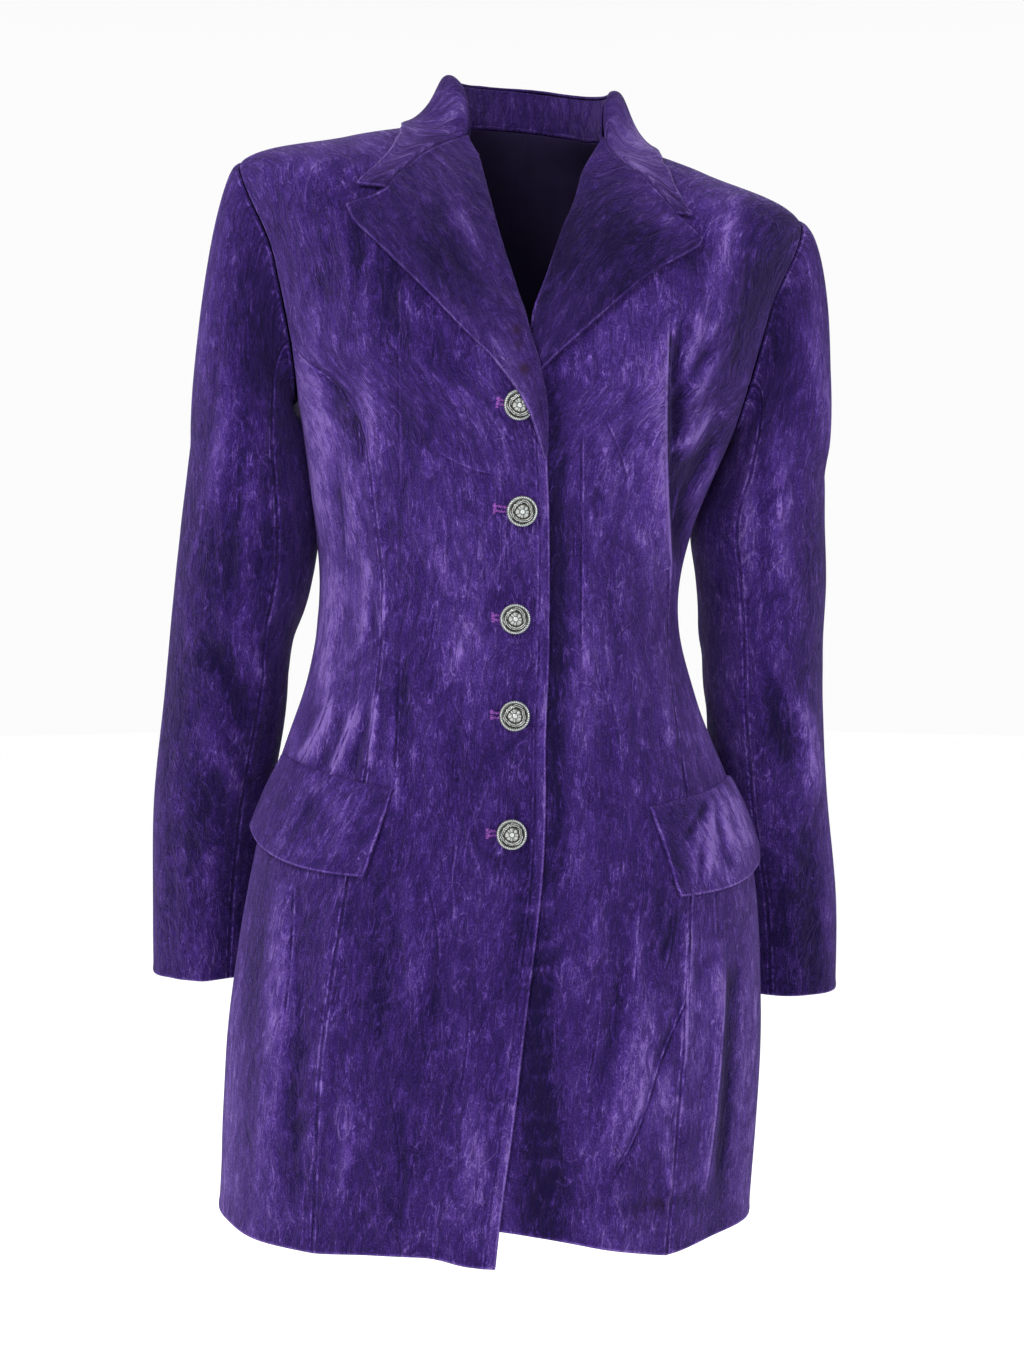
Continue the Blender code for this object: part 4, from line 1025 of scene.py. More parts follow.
def sleeve_panel(side, word, part, lo, hi, width):
    """One piece of a sleeve, from lo to hi round the armhole and width metres wide."""
    phi, s = np.meshgrid(lo + (hi - lo) * shares(width, STEP_ROUND),
                         1 - shares(SLEEVE_LONG, STEP_DOWN))
    base, normals = sleeve(side, phi, s), sleeve_outward(side, phi, s)
    height, tone = (BOLDER * value for value in marked(base, normals, SLEEVE_MARKS[word]))
    tone = tone + area_nap_and_shading(base, normals, SLEEVE_NAP_AND_SHADING[word])
    for phi0, s0, phi1, s1, *shape in HIDDEN_SLEEVE_FOLDS:
        share = stroke(phi % 360, s * SLEEVE_DEG,
                       (phi0, s0 * SLEEVE_DEG, phi1, s1 * SLEEVE_DEG, *shape))
        share = share * (1 - facing_camera(base, normals))
        height, tone = height + share * shape[2] * MM, tone + share * shape[3]
    dents = rumple(np.sin(np.radians(phi / 2)) * 0.1, s * 0.6, 11 + side)
    height, tone = height + dents + sleeve_fullness(side, phi, s), tone + dents * DENT_LIGHT_AND_SHADE
    points = base + normals * (height * smooth(s / 0.08))[..., None]
    name = "%s_%s_sleeve" % (word, part)
    cloth(name + "_cloth", name, points, normals, SEWN, "velvet", {"tone": tone})


for side, word in ((-1, "right"), (1, "left")):
    for cut in SLEEVE_CUTS:
        sleeve_panel(side, word, *cut)

# %% [markdown]
# ## Lapels, collar and stand
# The lapels fold out along the roll line and end in a notch.  The collar leaf turns down from
# its fold over the neck seam, and the stand rises inside it.  Where cloth turns over, at the roll
# line and along the collar's fold, the grid rounds down in a small quarter circle, so it meets the
# layer below instead of hovering over it.

# %% Outlines of lapels, collar and flaps
RIGHT_GORGE = [(-54.0, 0.84), (-57.0, 1.20), (-54.8, 1.84), (-53.2, 2.20), (-51.0, 2.78)]
LEFT_GORGE = [(57.0, 0.60), (57.0, 1.05), (54.8, 1.55), (52.8, 2.10), (51.0, 2.70)]
RIGHT_LAPEL_TOP = [(-51.0, 2.78), (-52.8, 2.98), (-56.6, 3.20)]
LEFT_LAPEL_TOP = [(51.0, 2.70), (52.2, 2.88), (54.0, 3.12)]
RIGHT_LAPEL_ROLL = [(-54.0, 0.84), (-39.5, 1.08), (-25.5, 1.74), (-15.8, 2.44), (-8.4, 3.08),
                    (-5.0, 3.52), (-2.3, 3.92), (0.6, 4.32), (3.0, 4.76), (7.3, 5.42)]
RIGHT_LAPEL_EDGE = [(-56.6, 3.20), (-53.5, 3.38), (-47.0, 3.54), (-33.5, 3.86), (-18.0, 4.32),
                    (-8.6, 4.74), (-2.0, 5.06), (6.6, 5.52)]
LEFT_LAPEL_ROLL = [(57.0, 0.60), (38.5, 0.72), (29.0, 0.98), (14.0, 1.86), (5.6, 2.93),
                   (0.6, 3.52), (-1.4, 3.90), (-2.6, 4.16)]
LEFT_LAPEL_EDGE = [(54.0, 3.12), (51.5, 3.24), (39.2, 3.40), (31.2, 3.55), (18.8, 3.86),
                   (9.2, 4.20), (1.8, 4.56), (-0.6, 4.66)]
COLLAR_FOLD = [(-54.0, 0.84), (-57.0, 0.40), (-64.0, 0.12), (-78.0, 0.04), (-100.0, 0.02),
               (-130.0, 0.02), (-180.0, 0.02), (-230.0, 0.02), (-260.0, 0.02), (-282.0, 0.02),
               (-296.0, 0.08), (-302.0, 0.28), (-303.0, 0.60)]
COLLAR_EDGE = [(-56.4, 2.93), (-57.2, 2.50), (-61.5, 2.05), (-67.5, 1.74), (-80.0, 1.53),
               (-105.0, 1.46), (-140.0, 1.50), (-180.0, 1.54), (-220.0, 1.50), (-255.0, 1.46),
               (-280.0, 1.52), (-293.0, 1.70), (-300.5, 2.10), (-304.5, 2.48), (-306.0, 2.80)]
RIGHT_COLLAR_END = [(-51.0, 2.78), (-53.5, 2.85), (-56.4, 2.93)]
LEFT_COLLAR_END = [(-309.0, 2.70), (-307.5, 2.75), (-306.0, 2.80)]
RIGHT_FLAP = [(-39.5, 8.66), (-45.0, 9.18), (-88.0, 9.05), (-81.0, 8.55)]
LEFT_FLAP = [(41.0, 8.70), (47.0, 9.24), (88.0, 9.06), (79.0, 8.56)]
ON_TOP = WALL + 0.0009     # from the middle of one cloth to the middle of the one lying on it
ROLL_R = 0.0045            # radius of the cloth where it turns over
LEAF = {"left": "edge", "right": "edge", "low": "turn", "high": "edge"}


def layer_on_body(name, node, grid, height, rims, slot, marks=(), areas=(), turn=None,
                  turn_drop=0.0, stains=(), seed=1):
    """A layer lying height (m) over the body; turn names the side where it rolls down."""
    a, t = grid[..., 0], grid[..., 1]
    base, normals = on_body(a, t)
    points = base + normals * (height + body_relief(a, t)[0])[..., None]
    own, own_tone = marked(points, normals, marks)
    own_tone = own_tone + area_nap_and_shading(points, normals, areas)
    distance = rim_distances(points)
    own = own + 0.5 * rumple(distance["left"], distance["low"], seed)
    drop = turn_drop * (1 - quarter_round(distance[turn] / ROLL_R)) if turn else 0.0
    points = points + normals * (own - drop)[..., None]
    layers = {"tone": own_tone, "stain": stained(points, stains)}
    cloth(name, node, points, normals, rims, slot, layers)


# %% Lapels
# Tone areas: painted shade darkens the lapels and painted light lies on their rolls and on the
# collar's leaf, with some of the nap's own patches.
LAPEL_NAP_AND_SHADING = {
    "right": [(430, 250, 70, 80, 0, -0.34), (466, 225, 10, 50, -28, 0.55),
              (400, 210, 30, 16, -20, 0.12), (500, 330, 12, 50, -35, 0.30),
              (520, 400, 14, 40, -20, 0.40)],
    "left": [(600, 260, 70, 80, 0, -0.58), (640, 180, 30, 30, 30, 0.30),
             (672, 225, 26, 12, 30, 0.35), (560, 330, 16, 40, 25, 0.12),
             (590, 170, 14, 40, 25, 0.25)],
}
COLLAR_NAP_AND_SHADING = [(400, 150, 50, 24, -30, 0.55), (450, 110, 14, 26, 0, 0.30),
                (640, 150, 36, 40, 40, 0.80), (672, 190, 16, 16, 40, 0.25),
                (610, 118, 8, 20, 0, 0.20)]
LAPEL_STAINS = [(516, 330, 6, 5, 0.8), (518, 345, 5, 6, 0.6), (524, 369, 6, 6, 0.9)]
LAPEL_MARKS = {
    "right": [(392, 215, 470, 330, -6, 14, 1.4, 0.20), (440, 240, 500, 350, 4, 12, -1.2, -0.15),
              (420, 290, 520, 372, 5, 9, 0.9, 0.25)],
    "left": [(604, 210, 560, 330, 6, 14, 1.4, 0.20), (572, 190, 540, 300, 4, 12, -1.2, -0.15),
             (640, 250, 580, 320, -4, 9, 0.9, 0.20)],
}


def right_lapel_height(a, t):
    """Over the right front; it rides up over the first button's upper edge."""
    over = np.exp(-((a + 4.5) / 9.0) ** 2 - ((t - 5.02) / 0.30) ** 2)
    sinks = 1 - 0.8 * smooth((t - 5.14) / 0.30)       # its tip runs out into the front edge
    return right_lift(a, t) + ON_TOP * sinks + 0.0078 * over + 0.0015 * smooth((-a - 6.0) / 30.0)


def left_lapel_height(a, t):
    """Over the left front; it stands off a little more towards its point."""
    return ON_TOP + 0.0015 * smooth((a - 10.0) / 30.0)


def lapel(word, gorge, top, roll, edge, height):
    """A lapel between its four edges; its columns run from the roll line outward."""
    up, along = shares(0.40, STEP_DOWN), shares(0.10, 0.0030)
    split = 5.0 / 7.0                      # the gorge takes this share of the upper side
    inner = along <= split
    high = np.vstack([trace(gorge, along[inner] / split),
                      trace(top, (along[~inner] - split) / (1 - split))])
    grid = coons(trace(roll, 1 - up), trace(edge, 1 - up), trace([roll[-1], edge[-1]], along),
                 high, up, along)
    layer_on_body(word + "_lapel_cloth", word + "_lapel", grid, height(*np.moveaxis(grid, -1, 0)),
                  {"left": "turn", "right": "edge", "low": "edge", "high": "seam"}, "collar_velvet",
                  LAPEL_MARKS[word], LAPEL_NAP_AND_SHADING[word], "left", 0.0024,
                  LAPEL_STAINS if word == "right" else (), 21)


lapel("right", RIGHT_GORGE, RIGHT_LAPEL_TOP, RIGHT_LAPEL_ROLL, RIGHT_LAPEL_EDGE, right_lapel_height)
lapel("left", LEFT_GORGE, LEFT_LAPEL_TOP, LEFT_LAPEL_ROLL, LEFT_LAPEL_EDGE, left_lapel_height)

# %% Collar leaf and stand
gorge_in = shares(0.085, 0.0035, fine_end=False)
fold_at = np.linspace(0, 1, 131)[1:]
gorge_out = shares(0.085, 0.0035, fine_start=False)[1:]
LEFT_GORGE_ROUND = np.array(LEFT_GORGE) - [360.0, 0.0]
leaf_inner = np.vstack([trace(RIGHT_GORGE, 1 - gorge_in), trace(COLLAR_FOLD, fold_at),
                        trace(LEFT_GORGE_ROUND, gorge_out)])
leaf_outer = np.vstack([trace(COLLAR_EDGE[:4], gorge_in), trace(COLLAR_EDGE[3:-3], fold_at),
                        trace(COLLAR_EDGE[-4:], gorge_out)])
leaf_column = np.concatenate([5 * gorge_in, 5 + 26 * fold_at, 31 + 5 * gorge_out])
leaf_down = shares(0.075, 0.0035)
leaf = coons(trace(RIGHT_COLLAR_END, leaf_down), trace(LEFT_COLLAR_END, leaf_down),
             leaf_inner, leaf_outer, leaf_down, leaf_column / leaf_column[-1])
loose = smooth((np.minimum(leaf_column, leaf_column[-1] - leaf_column) - 4) / 5.0)


def grid_normals(points, towards):
    """Unit normals of a grid of points, on the side of the given directions."""
    n = unit(np.cross(np.gradient(points, axis=0), np.gradient(points, axis=1)))
    return n * np.sign((n * towards).sum(-1, keepdims=True))


def bridged(a, t, rows):
    """A leaf in one slope: it rolls out of the collar's fold and comes to lie on the shoulder."""
    top, n_top = on_body(a[0], t[0])
    foot, n_foot = on_body(a[-1], t[-1])
    back = folded(a[-1] + 0.05 * (a[0] - a[-1]), t[-1] + 0.05 * (t[0] - t[-1])) - foot
    start = top + np.array([0, 0, 0.0014])
    end = foot + n_foot * (ON_TOP + 0.0010)
    long = np.linalg.norm(end - start, axis=-1, keepdims=True)
    first = start + (n_top * 0.26 + np.array([0, 0, 0.10])) * long
    second = end + unit(back) * 0.46 * long + n_foot * 0.10 * long
    v = rows[:, None, None]
    return ((1 - v) ** 3 * start + 3 * v * (1 - v) ** 2 * first
            + 3 * v * v * (1 - v) * second + v ** 3 * end)


leaf_a, leaf_t = leaf[..., 0], leaf[..., 1]
leaf_base, body_normals = on_body(leaf_a, leaf_t)
flat_leaf = leaf_base + body_normals * (
    ON_TOP + 0.0015 + body_relief(leaf_a, leaf_t)[0])[..., None]
leaf_points = (flat_leaf * (1 - loose[:, None])
               + bridged(leaf_a, leaf_t, leaf_down) * loose[:, None])
leaf_normals = grid_normals(leaf_points, body_normals + np.array([0, 0, 0.8]))
leaf_along = np.linspace(0, 0.5, len(leaf_column))[None, :]
leaf_dents = rumple(leaf_along, leaf_down[:, None] * 0.12, 31)
leaf_points = leaf_points + leaf_normals * (0.7 * leaf_dents)[..., None]
leaf_tone = area_nap_and_shading(leaf_points, leaf_normals, COLLAR_NAP_AND_SHADING) + leaf_dents * DENT_LIGHT_AND_SHADE
cloth("collar_fall_cloth", "collar_fall", leaf_points, leaf_normals, LEAF, "collar_velvet",
      {"tone": leaf_tone})

STAND_T, STAND_LEAST = 0.970, 0.06     # the stand's foot, and its least height, in rings
fold_line = trace([(-40.0, 1.0)] + COLLAR_FOLD + [(-320.0, 0.98)], np.linspace(0, 1, 400))
stand_a = -43.0 - 274.0 * shares(0.36, 0.0036)
stand_top = np.interp(-stand_a, -fold_line[:, 0], fold_line[:, 1])
stand_a, stand_v = np.meshgrid(stand_a, shares(0.04, 0.0035))
stand_t = STAND_T - stand_v * np.maximum(STAND_T - stand_top, STAND_LEAST)
layer_on_body("collar_stand_cloth", "collar_stand", np.stack([stand_a, stand_t], -1), 0.0,
              {"left": "edge", "right": "edge", "low": "seam", "high": "turn"},
              "collar_velvet", seed=37)

# %% [markdown]
# ## Pocket flaps
# The flaps are sewn in along their upper edge and fall free below it.  Their lower outer corner
# stands off the skirt a little.

# %% Flaps
# Tones of the flaps' marks and areas: painted light on ridges and painted shade in troughs and
# hollows, with some of the nap's own patches.
FLAP_MARKS = {
    "right": [(345, 800, 338, 858, 1, 7, 1.4, 0.30), (312, 790, 302, 850, 1, 9, -1.0, -0.20),
              (372, 810, 366, 868, 1, 8, 0.9, 0.15)],
    "left": [(706, 800, 682, 840, 3, 3.5, -1.8, -0.85), (711, 797, 705, 884, 2, 3.5, 1.4, 0.50),
             (716, 808, 730, 870, -2, 3, -1.2, -0.60), (722, 800, 738, 862, -2, 3.5, 1.2, 0.42),
             (697, 814, 693, 880, 0, 3.5, 1.0, 0.40), (702, 840, 700, 886, 0, 2.5, -0.8, -0.45),
             (735, 792, 746, 850, 1, 7, 0.8, 0.20)],
}
FLAP_NAP_AND_SHADING = {
    "right": [(330, 800, 40, 30, 15, 0.10), (368, 850, 12, 30, 0, -0.25),
              (285, 800, 20, 24, 20, -0.15)],
    "left": [(736, 832, 26, 50, -10, 0.50), (706, 852, 20, 38, 6, 0.42),
             (680, 812, 22, 12, -15, -0.35), (676, 860, 7, 28, -12, -0.45)],
}


def flap(word, corners):
    """A pocket flap between its corners: inner top, inner low, outer low, outer top."""
    inner_top, inner_low, outer_low, outer_top = np.array(corners)
    u, v = np.meshgrid(shares(0.10, 0.0034), shares(0.075, 0.0040))
    u3, v3 = u[..., None], v[..., None]
    grid = ((1 - u3) * (1 - v3) * inner_top + (1 - u3) * v3 * inner_low
            + u3 * v3 * outer_low + u3 * (1 - v3) * outer_top)
    grid[..., 1] += 0.05 * np.sin(np.pi * u) * v
    stands_off = ON_TOP + v * (0.0012 + 0.0045 * u * u)
    layer_on_body(word + "_flap_cloth", word + "_flap", grid, stands_off, LEAF, "velvet",
                  FLAP_MARKS[word], FLAP_NAP_AND_SHADING[word], "low", 0.0022, seed=41)


flap("right", RIGHT_FLAP)
flap("left", LEFT_FLAP)

# %% [markdown]
# ## A small language for node trees
# Shader maths reads best as plain expressions, so a small class wraps a socket and turns + - *
# into Math nodes.  Every other node comes from one method, `Nodes.node`, which serves materials,
# the sky and Geometry Nodes alike.

# %% Shader helpers


class Value:
    """A number that changes over a surface, carried by a node's output socket."""

    def __init__(self, nodes, socket):
        self.nodes, self.socket = nodes, socket

    def maths(self, operation, *others):
        """One Math node with this value and the others as its inputs."""
        inputs = dict(enumerate((self,) + others))
        return self.nodes.node("ShaderNodeMath", {"operation": operation}, inputs)

    def __add__(self, other):
        return self.maths("ADD", other)

    __radd__ = __add__

    def __sub__(self, other):
        return self.maths("SUBTRACT", other)

    def __rsub__(self, other):
        return self * -1.0 + other

    def __mul__(self, other):
        return self.maths("MULTIPLY", other)

    def most(self, other):
        return self.maths("MAXIMUM", other)

    def size(self):
        return self.maths("ABSOLUTE")

    def step(self, low, high, to_low=0.0, to_high=1.0):
        """A soft step from to_low to to_high as the value goes from low to high."""
        return self.nodes.node("ShaderNodeMapRange", {"interpolation_type": "SMOOTHSTEP"},
                               {"Value": self, "From Min": low, "From Max": high,
                                "To Min": to_low, "To Max": to_high})


class Nodes:
    """A node tree that grows one expression at a time."""

    def __init__(self, tree):
        self.tree = tree

    def put(self, socket, value):
        """Give a socket a number or colour, or link a Value to it."""
        if isinstance(value, Value):
            self.tree.links.new(value.socket, socket)
        else:
            socket.default_value = value

    def node(self, kind, settings=None, sockets=None, output=0):
        """A new node with its settings and inputs; the answer is one of its outputs."""
        made = self.tree.nodes.new(kind)
        for key, value in (settings or {}).items():
            setattr(made, key, value)
        for key, value in (sockets or {}).items():
            self.put(made.inputs[key], value)
        return Value(self, made.outputs[output])


class Finish(Nodes):
    """A material on the cloth's own coordinates and attributes."""

    def __init__(self, name):
        self.material = bpy.data.materials.new(name)
        self.material.use_nodes = True
        super().__init__(self.material.node_tree)
        self.shader = self.tree.nodes["Principled BSDF"]

    def attribute(self, name):
        return self.node("ShaderNodeAttribute", {"attribute_name": name}, output="Fac")

    def cloth_place(self, across, along, turn=0.0):
        """The piece's own coordinates, scaled to so many features a metre."""
        uv = self.node("ShaderNodeUVMap", {"uv_map": "cloth"})
        return self.node("ShaderNodeMapping", {"vector_type": "POINT"},
                         {"Vector": uv, "Rotation": (0.0, 0.0, turn),
                          "Scale": (across, along, 1.0)})

    def noise(self, across, along, detail, rough, distortion=0.0, turn=0.0):
        """Noise on the cloth, from 0 to 1, with so many features a metre."""
        return self.node("ShaderNodeTexNoise", {"noise_dimensions": "2D"},
                         {"Vector": self.cloth_place(across, along, turn), "Scale": 1.0,
                          "Detail": detail, "Roughness": rough, "Distortion": distortion})

    def veins(self, across, along, wander, turn=0.0):
        """Thin wandering lines: 0 on a line, growing to both sides."""
        return (self.noise(across, along, 2.0, 0.5, wander, turn) - 0.5).size()

    def spots(self, **settings):
        """Noise in the object's own metres, for small hard pieces."""
        place = self.node("ShaderNodeTexCoord", output="Object")
        return self.node("ShaderNodeTexNoise", {}, {"Vector": place, **settings})

    def ramp(self, value, stops):
        """Colours for a value from 0 to 1."""
        made = self.node("ShaderNodeValToRGB", {}, {"Fac": value})
        bar = made.socket.node.color_ramp
        while len(bar.elements) < len(stops):
            bar.elements.new(0.5)
        for element, (place, colour) in zip(bar.elements, stops):
            element.position, element.color = place, (*colour, 1.0)
        return made

    def mixed(self, share, first, second):
        """A colour between a Value and a plain colour; the numbers are the node's sockets."""
        return self.node("ShaderNodeMix", {"data_type": "RGBA"},
                         {0: share, 6: first, 7: (*second, 1.0)}, 2)

    def bump(self, height, distance, strength, **below):
        """A bump of some metres, on top of the bump given as Normal, if any."""
        return self.node("ShaderNodeBump", {}, {"Height": height, "Distance": distance,
                                                "Strength": strength, **below})

    def wear(self, **sockets):
        """Set the shader's own sockets; underscores stand for spaces."""
        for key, value in sockets.items():
            self.put(self.shader.inputs[key.replace("_", " ")], value)


# %% [markdown]
# ## Crushed velvet
# Velvet looks dark where its pile stands up and light where it lies over or where the cloth
# turns away.  Crushed velvet has this in patches: soft mottling, streaks along the grain, fine
# fibres in the streaks and sharp small creases.  The tone attribute adds painted light and shade
# of the folds and broad areas.  A sheen lobe gives the light rim.  A seam is painted as a thin
# dark line of shade in its dip with a light line on its rise.

# %% Velvet
# the four steps of tone, dark to light, picked by the nap's own mottling together with the painted
# light and shade of the tone attribute
BODY_TONES = ((0.0074, 0.0026, 0.038), (0.0335, 0.0118, 0.128), (0.088, 0.039, 0.255),
              (0.215, 0.128, 0.450))
# darker steps for the collar, lapels and stand: a shaded copy of the body's tones, painted shade
# over these turned-over pieces
COLLAR_SHADED_TONES = ((0.0072, 0.0028, 0.034), (0.0265, 0.0098, 0.098), (0.066, 0.031, 0.195),
                (0.178, 0.110, 0.360))
TONE_AT = (0.02, 0.38, 0.68, 1.0)
STAIN = (0.022, 0.006, 0.012)
HAIRS = (
    # across along turn  wander width strong from  to    (the last two: where these hairs grow)
    (270.0, 46.0, 0.0, 0.6, 0.055, 1.0, 0.37, 0.58),
    (190.0, 52.0, 0.55, 1.0, 0.045, 0.8, 0.50, 0.64),
    (200.0, 60.0, -0.5, 1.0, 0.045, 0.8, 0.52, 0.38),
)


def velvet(name, tones, grain, fibres):
    """Crushed velvet; its tone runs from 0 (dark) to 1 (light) and is the nap's own mottling plus
    painted light and shade.
    """
    f = Finish(name)
    patches = f.noise(38.0, 20.0, 6.0, 0.70, 0.8)
    crushed = f.noise(150.0, 62.0, 5.0, 0.70, 0.7)
    flecks = crushed.step(0.55, 0.61)
    pile_grain = f.noise(980.0, 620.0, 2.0, 0.75)
    some = f.noise(64.0, 34.0, 3.0, 0.6)
    hairs = sum(f.veins(across, along, wander, turn).step(0.0, width, strong, 0.0)
                * some.step(low, high)
                for across, along, turn, wander, width, strong, low, high in HAIRS)
    creases = f.veins(46.0, 13.0, 0.9).step(0.0, 0.014, 1.0, 0.0)
    creases = creases * f.noise(14.0, 9.0, 1.0, 0.5).step(0.48, 0.58)
    breaks = f.noise(150.0, 44.0, 4.0, 0.70, 0.9).step(0.36, 0.62)
    puckers = f.noise(26.0, 130.0, 2.0, 0.6)
    nap_and_painted_light = (0.32 + (patches - 0.5) * 0.66 + (crushed - 0.5) * 0.34 + flecks * 0.10
            + (pile_grain - 0.5) * grain + hairs * fibres + creases * 0.28
            + f.attribute("tone") * (0.44 + breaks * 0.42))

    # seams, pressed lines, darts and creases: a thin painted highlight with painted shade beside
    # it;
    # free edges: a thin light line, partly worn nap and partly painted highlight
    sewn, free, line = f.attribute("sewn"), f.attribute("free"), f.attribute("line")
    pressed = f.attribute("pressed")
    near_seam = sewn.step(0.0015, 0.011, 1.0, 0.0)
    uneven = 0.35 + puckers.step(0.35, 0.65) * 0.85
    seam_painted_highlight = (sewn - 0.0022).size().step(0.0, 0.0011, 1.0, 0.0)
    seam_painted_shade = sewn.step(0.0, 0.0014, 1.0, 0.0)
    edge_wear_and_highlight = (free - 0.0012).size().step(0.0, 0.0013, 1.0, 0.0)
    line_painted_highlight = line.size().step(0.0, 0.0011, 1.0, 0.0) * pressed
    line_painted_shade = (line + 0.0016).size().step(0.0, 0.0013, 1.0, 0.0) * pressed
    lines = seam_painted_highlight * 0.36 - seam_painted_shade * 0.24 + line_painted_highlight * 0.36 - line_painted_shade * 0.30
    # near a seam the colour follows the puckers: painted light where they bulge, painted shade
    # between them
    nap_and_painted_light = nap_and_painted_light + lines * uneven + edge_wear_and_highlight * 0.36 + near_seam * (puckers - 0.5) * 0.45

    colour = f.ramp(nap_and_painted_light, list(zip(TONE_AT, tones)))
    f.wear(Base_Color=f.mixed(f.attribute("stain"), colour, STAIN),
           Roughness=(0.88 - nap_and_painted_light * 0.22).most(0.5), Metallic=0.0, Specular_IOR_Level=0.10,
           Sheen_Weight=0.24, Sheen_Roughness=0.38, Sheen_Tint=(0.48, 0.32, 0.86, 1.0))
    soft = f.bump(patches * 0.8 + crushed + creases * 0.25 + near_seam * puckers * 0.5,
                  0.0040, 1.0)
    f.wear(Normal=f.bump(hairs * 0.4 + pile_grain * 0.7, 0.0004, 0.8, Normal=soft))
    return f.material


velvet_cloth = velvet("violet_velvet", BODY_TONES, 0.84, 0.30)
shaded_collar_cloth = velvet("violet_collar_velvet", COLLAR_SHADED_TONES, 0.66, 0.20)


def reverse_side():
    """The back of the velvet: a plain dark weave with no nap."""
    f = Finish("velvet_reverse")
    warp, weft = (f.node("ShaderNodeTexWave", {"wave_type": "BANDS", "bands_direction": way},
                         {"Vector": f.cloth_place(1.0, 1.0), "Scale": scale, "Distortion": 0.6})
                  for way, scale in (("X", 420.0), ("Y", 380.0)))
    uneven = f.noise(60.0, 60.0, 3.0, 0.6)
    weave = warp * 0.5 + weft * 0.5
    colours = [(0.2, (0.007, 0.004, 0.022)), (0.8, (0.020, 0.010, 0.054))]
    f.wear(Base_Color=f.ramp(weave * 0.5 + uneven * 0.5, colours),
           Roughness=0.80 + uneven * 0.15, Specular_IOR_Level=0.25,
           Normal=f.bump(weave, 0.0002, 0.6))
    return f.material


reverse = reverse_side()
for entry in pieces.values():
    mesh = entry["object"].data
    outer = velvet_cloth if entry["slot"] == "velvet" else shaded_collar_cloth
    mesh.materials.append(outer)
    mesh.materials.append(outer if entry["slot"] == "collar_velvet" else reverse)
print("cloth pieces finished:", len(pieces))

# %% [markdown]
# ## Buttons and buttonholes
# The buttons are cast domes with a rosette inside a rope rim.  The dome is one turned profile with
# a relief worked out from radius and angle.  Rope strands and the thread of the buttonholes
# repeat, so Geometry Nodes set them: a small bead on each point, turned by two directions stored on
# the point.

# %% Geometry Nodes: beads on points
BEAD_INPUTS = (("Geometry", "Geometry", None), ("Length", "Float", 0.002),
               ("Width", "Float", 0.0005), ("Height", "Float", 0.0005),
               ("Unevenness", "Float", 0.1), ("Seed", "Int", 3), ("Finish", "Material", None))


def beads_tree():
    """Set a long bead on every point, its length along 'along' and its top towards 'up'."""
    tree = bpy.data.node_groups.new("beads_on_points", "GeometryNodeTree")
    for title, kind, value in BEAD_INPUTS:
        socket = tree.interface.new_socket(title, in_out="INPUT",
                                           socket_type="NodeSocket" + kind)
        if value is not None:
            socket.default_value = value
    tree.interface.new_socket("Geometry", in_out="OUTPUT", socket_type="NodeSocketGeometry")
    nodes = Nodes(tree)
    given = {title: nodes.node("NodeGroupInput", output=title) for title, _, _ in BEAD_INPUTS}

    # the bead: a small ball, stretched unevenly
    ball = nodes.node("GeometryNodeMeshUVSphere", {}, {"Segments": 8, "Rings": 6, "Radius": 0.5})
    size = nodes.node("ShaderNodeCombineXYZ", {}, {
        "X": given["Length"], "Y": given["Width"], "Z": given["Height"]})
    least, most = given["Unevenness"] * -1.0 + 1.0, given["Unevenness"] + 1.0
    # sockets 2 and 3 of the next node are the Min and Max of a number, and output 1 the number
    chance = nodes.node("FunctionNodeRandomValue", {},
                        {2: least, 3: most, "Seed": given["Seed"]}, 1)
    uneven = nodes.node("ShaderNodeVectorMath", {"operation": "SCALE"}, {0: size, "Scale": chance})

    # its two directions, read from the points
    turn = None
    for title, axis, pivot in (("along", "X", "AUTO"), ("up", "Z", "X")):
        stored = nodes.node("GeometryNodeInputNamedAttribute", {"data_type": "FLOAT_VECTOR"},
                            {"Name": title}, "Attribute")
        turn = nodes.node("FunctionNodeAlignRotationToVector", {"axis": axis, "pivot_axis": pivot},
                          {"Vector": stored, **({"Rotation": turn} if turn else {})})

    result = nodes.node("GeometryNodeInstanceOnPoints", {}, {
        "Points": given["Geometry"], "Instance": ball, "Rotation": turn, "Scale": uneven})
    for kind in ("GeometryNodeRealizeInstances", "GeometryNodeSetShadeSmooth"):
        result = nodes.node(kind, {}, {0: result})
    result = nodes.node("GeometryNodeSetMaterial", {}, {0: result, "Material": given["Finish"]})
    nodes.put(tree.nodes.new("NodeGroupOutput").inputs["Geometry"], result)
    return tree


BEADS = beads_tree()


def beads(name, points, along, up, finish, **sizes):
    """A plain mesh of beads on points; sizes are Length, Width, Height, Unevenness and Seed."""
    mesh = bpy.data.meshes.new(name + "_points")
    mesh.from_pydata(np.asarray(points, float).tolist(), [], [])
    store(mesh, "along", along, "FLOAT_VECTOR")
    store(mesh, "up", up, "FLOAT_VECTOR")
    carrier = placed(name + "_points", mesh)
    modifier = carrier.modifiers.new("beads", "NODES")
    modifier.node_group = BEADS
    sizes["Finish"] = finish
    for item in BEADS.interface.items_tree:
        if item.in_out == "INPUT" and item.name in sizes:
            modifier[item.identifier] = sizes[item.name]
    evaluated = carrier.evaluated_get(bpy.context.evaluated_depsgraph_get())
    plain = bpy.data.meshes.new_from_object(evaluated)
    plain.name = name
    bpy.data.objects.remove(carrier, do_unlink=True)
    bpy.data.meshes.remove(mesh)
    return plain


# %% Antique silver and thread


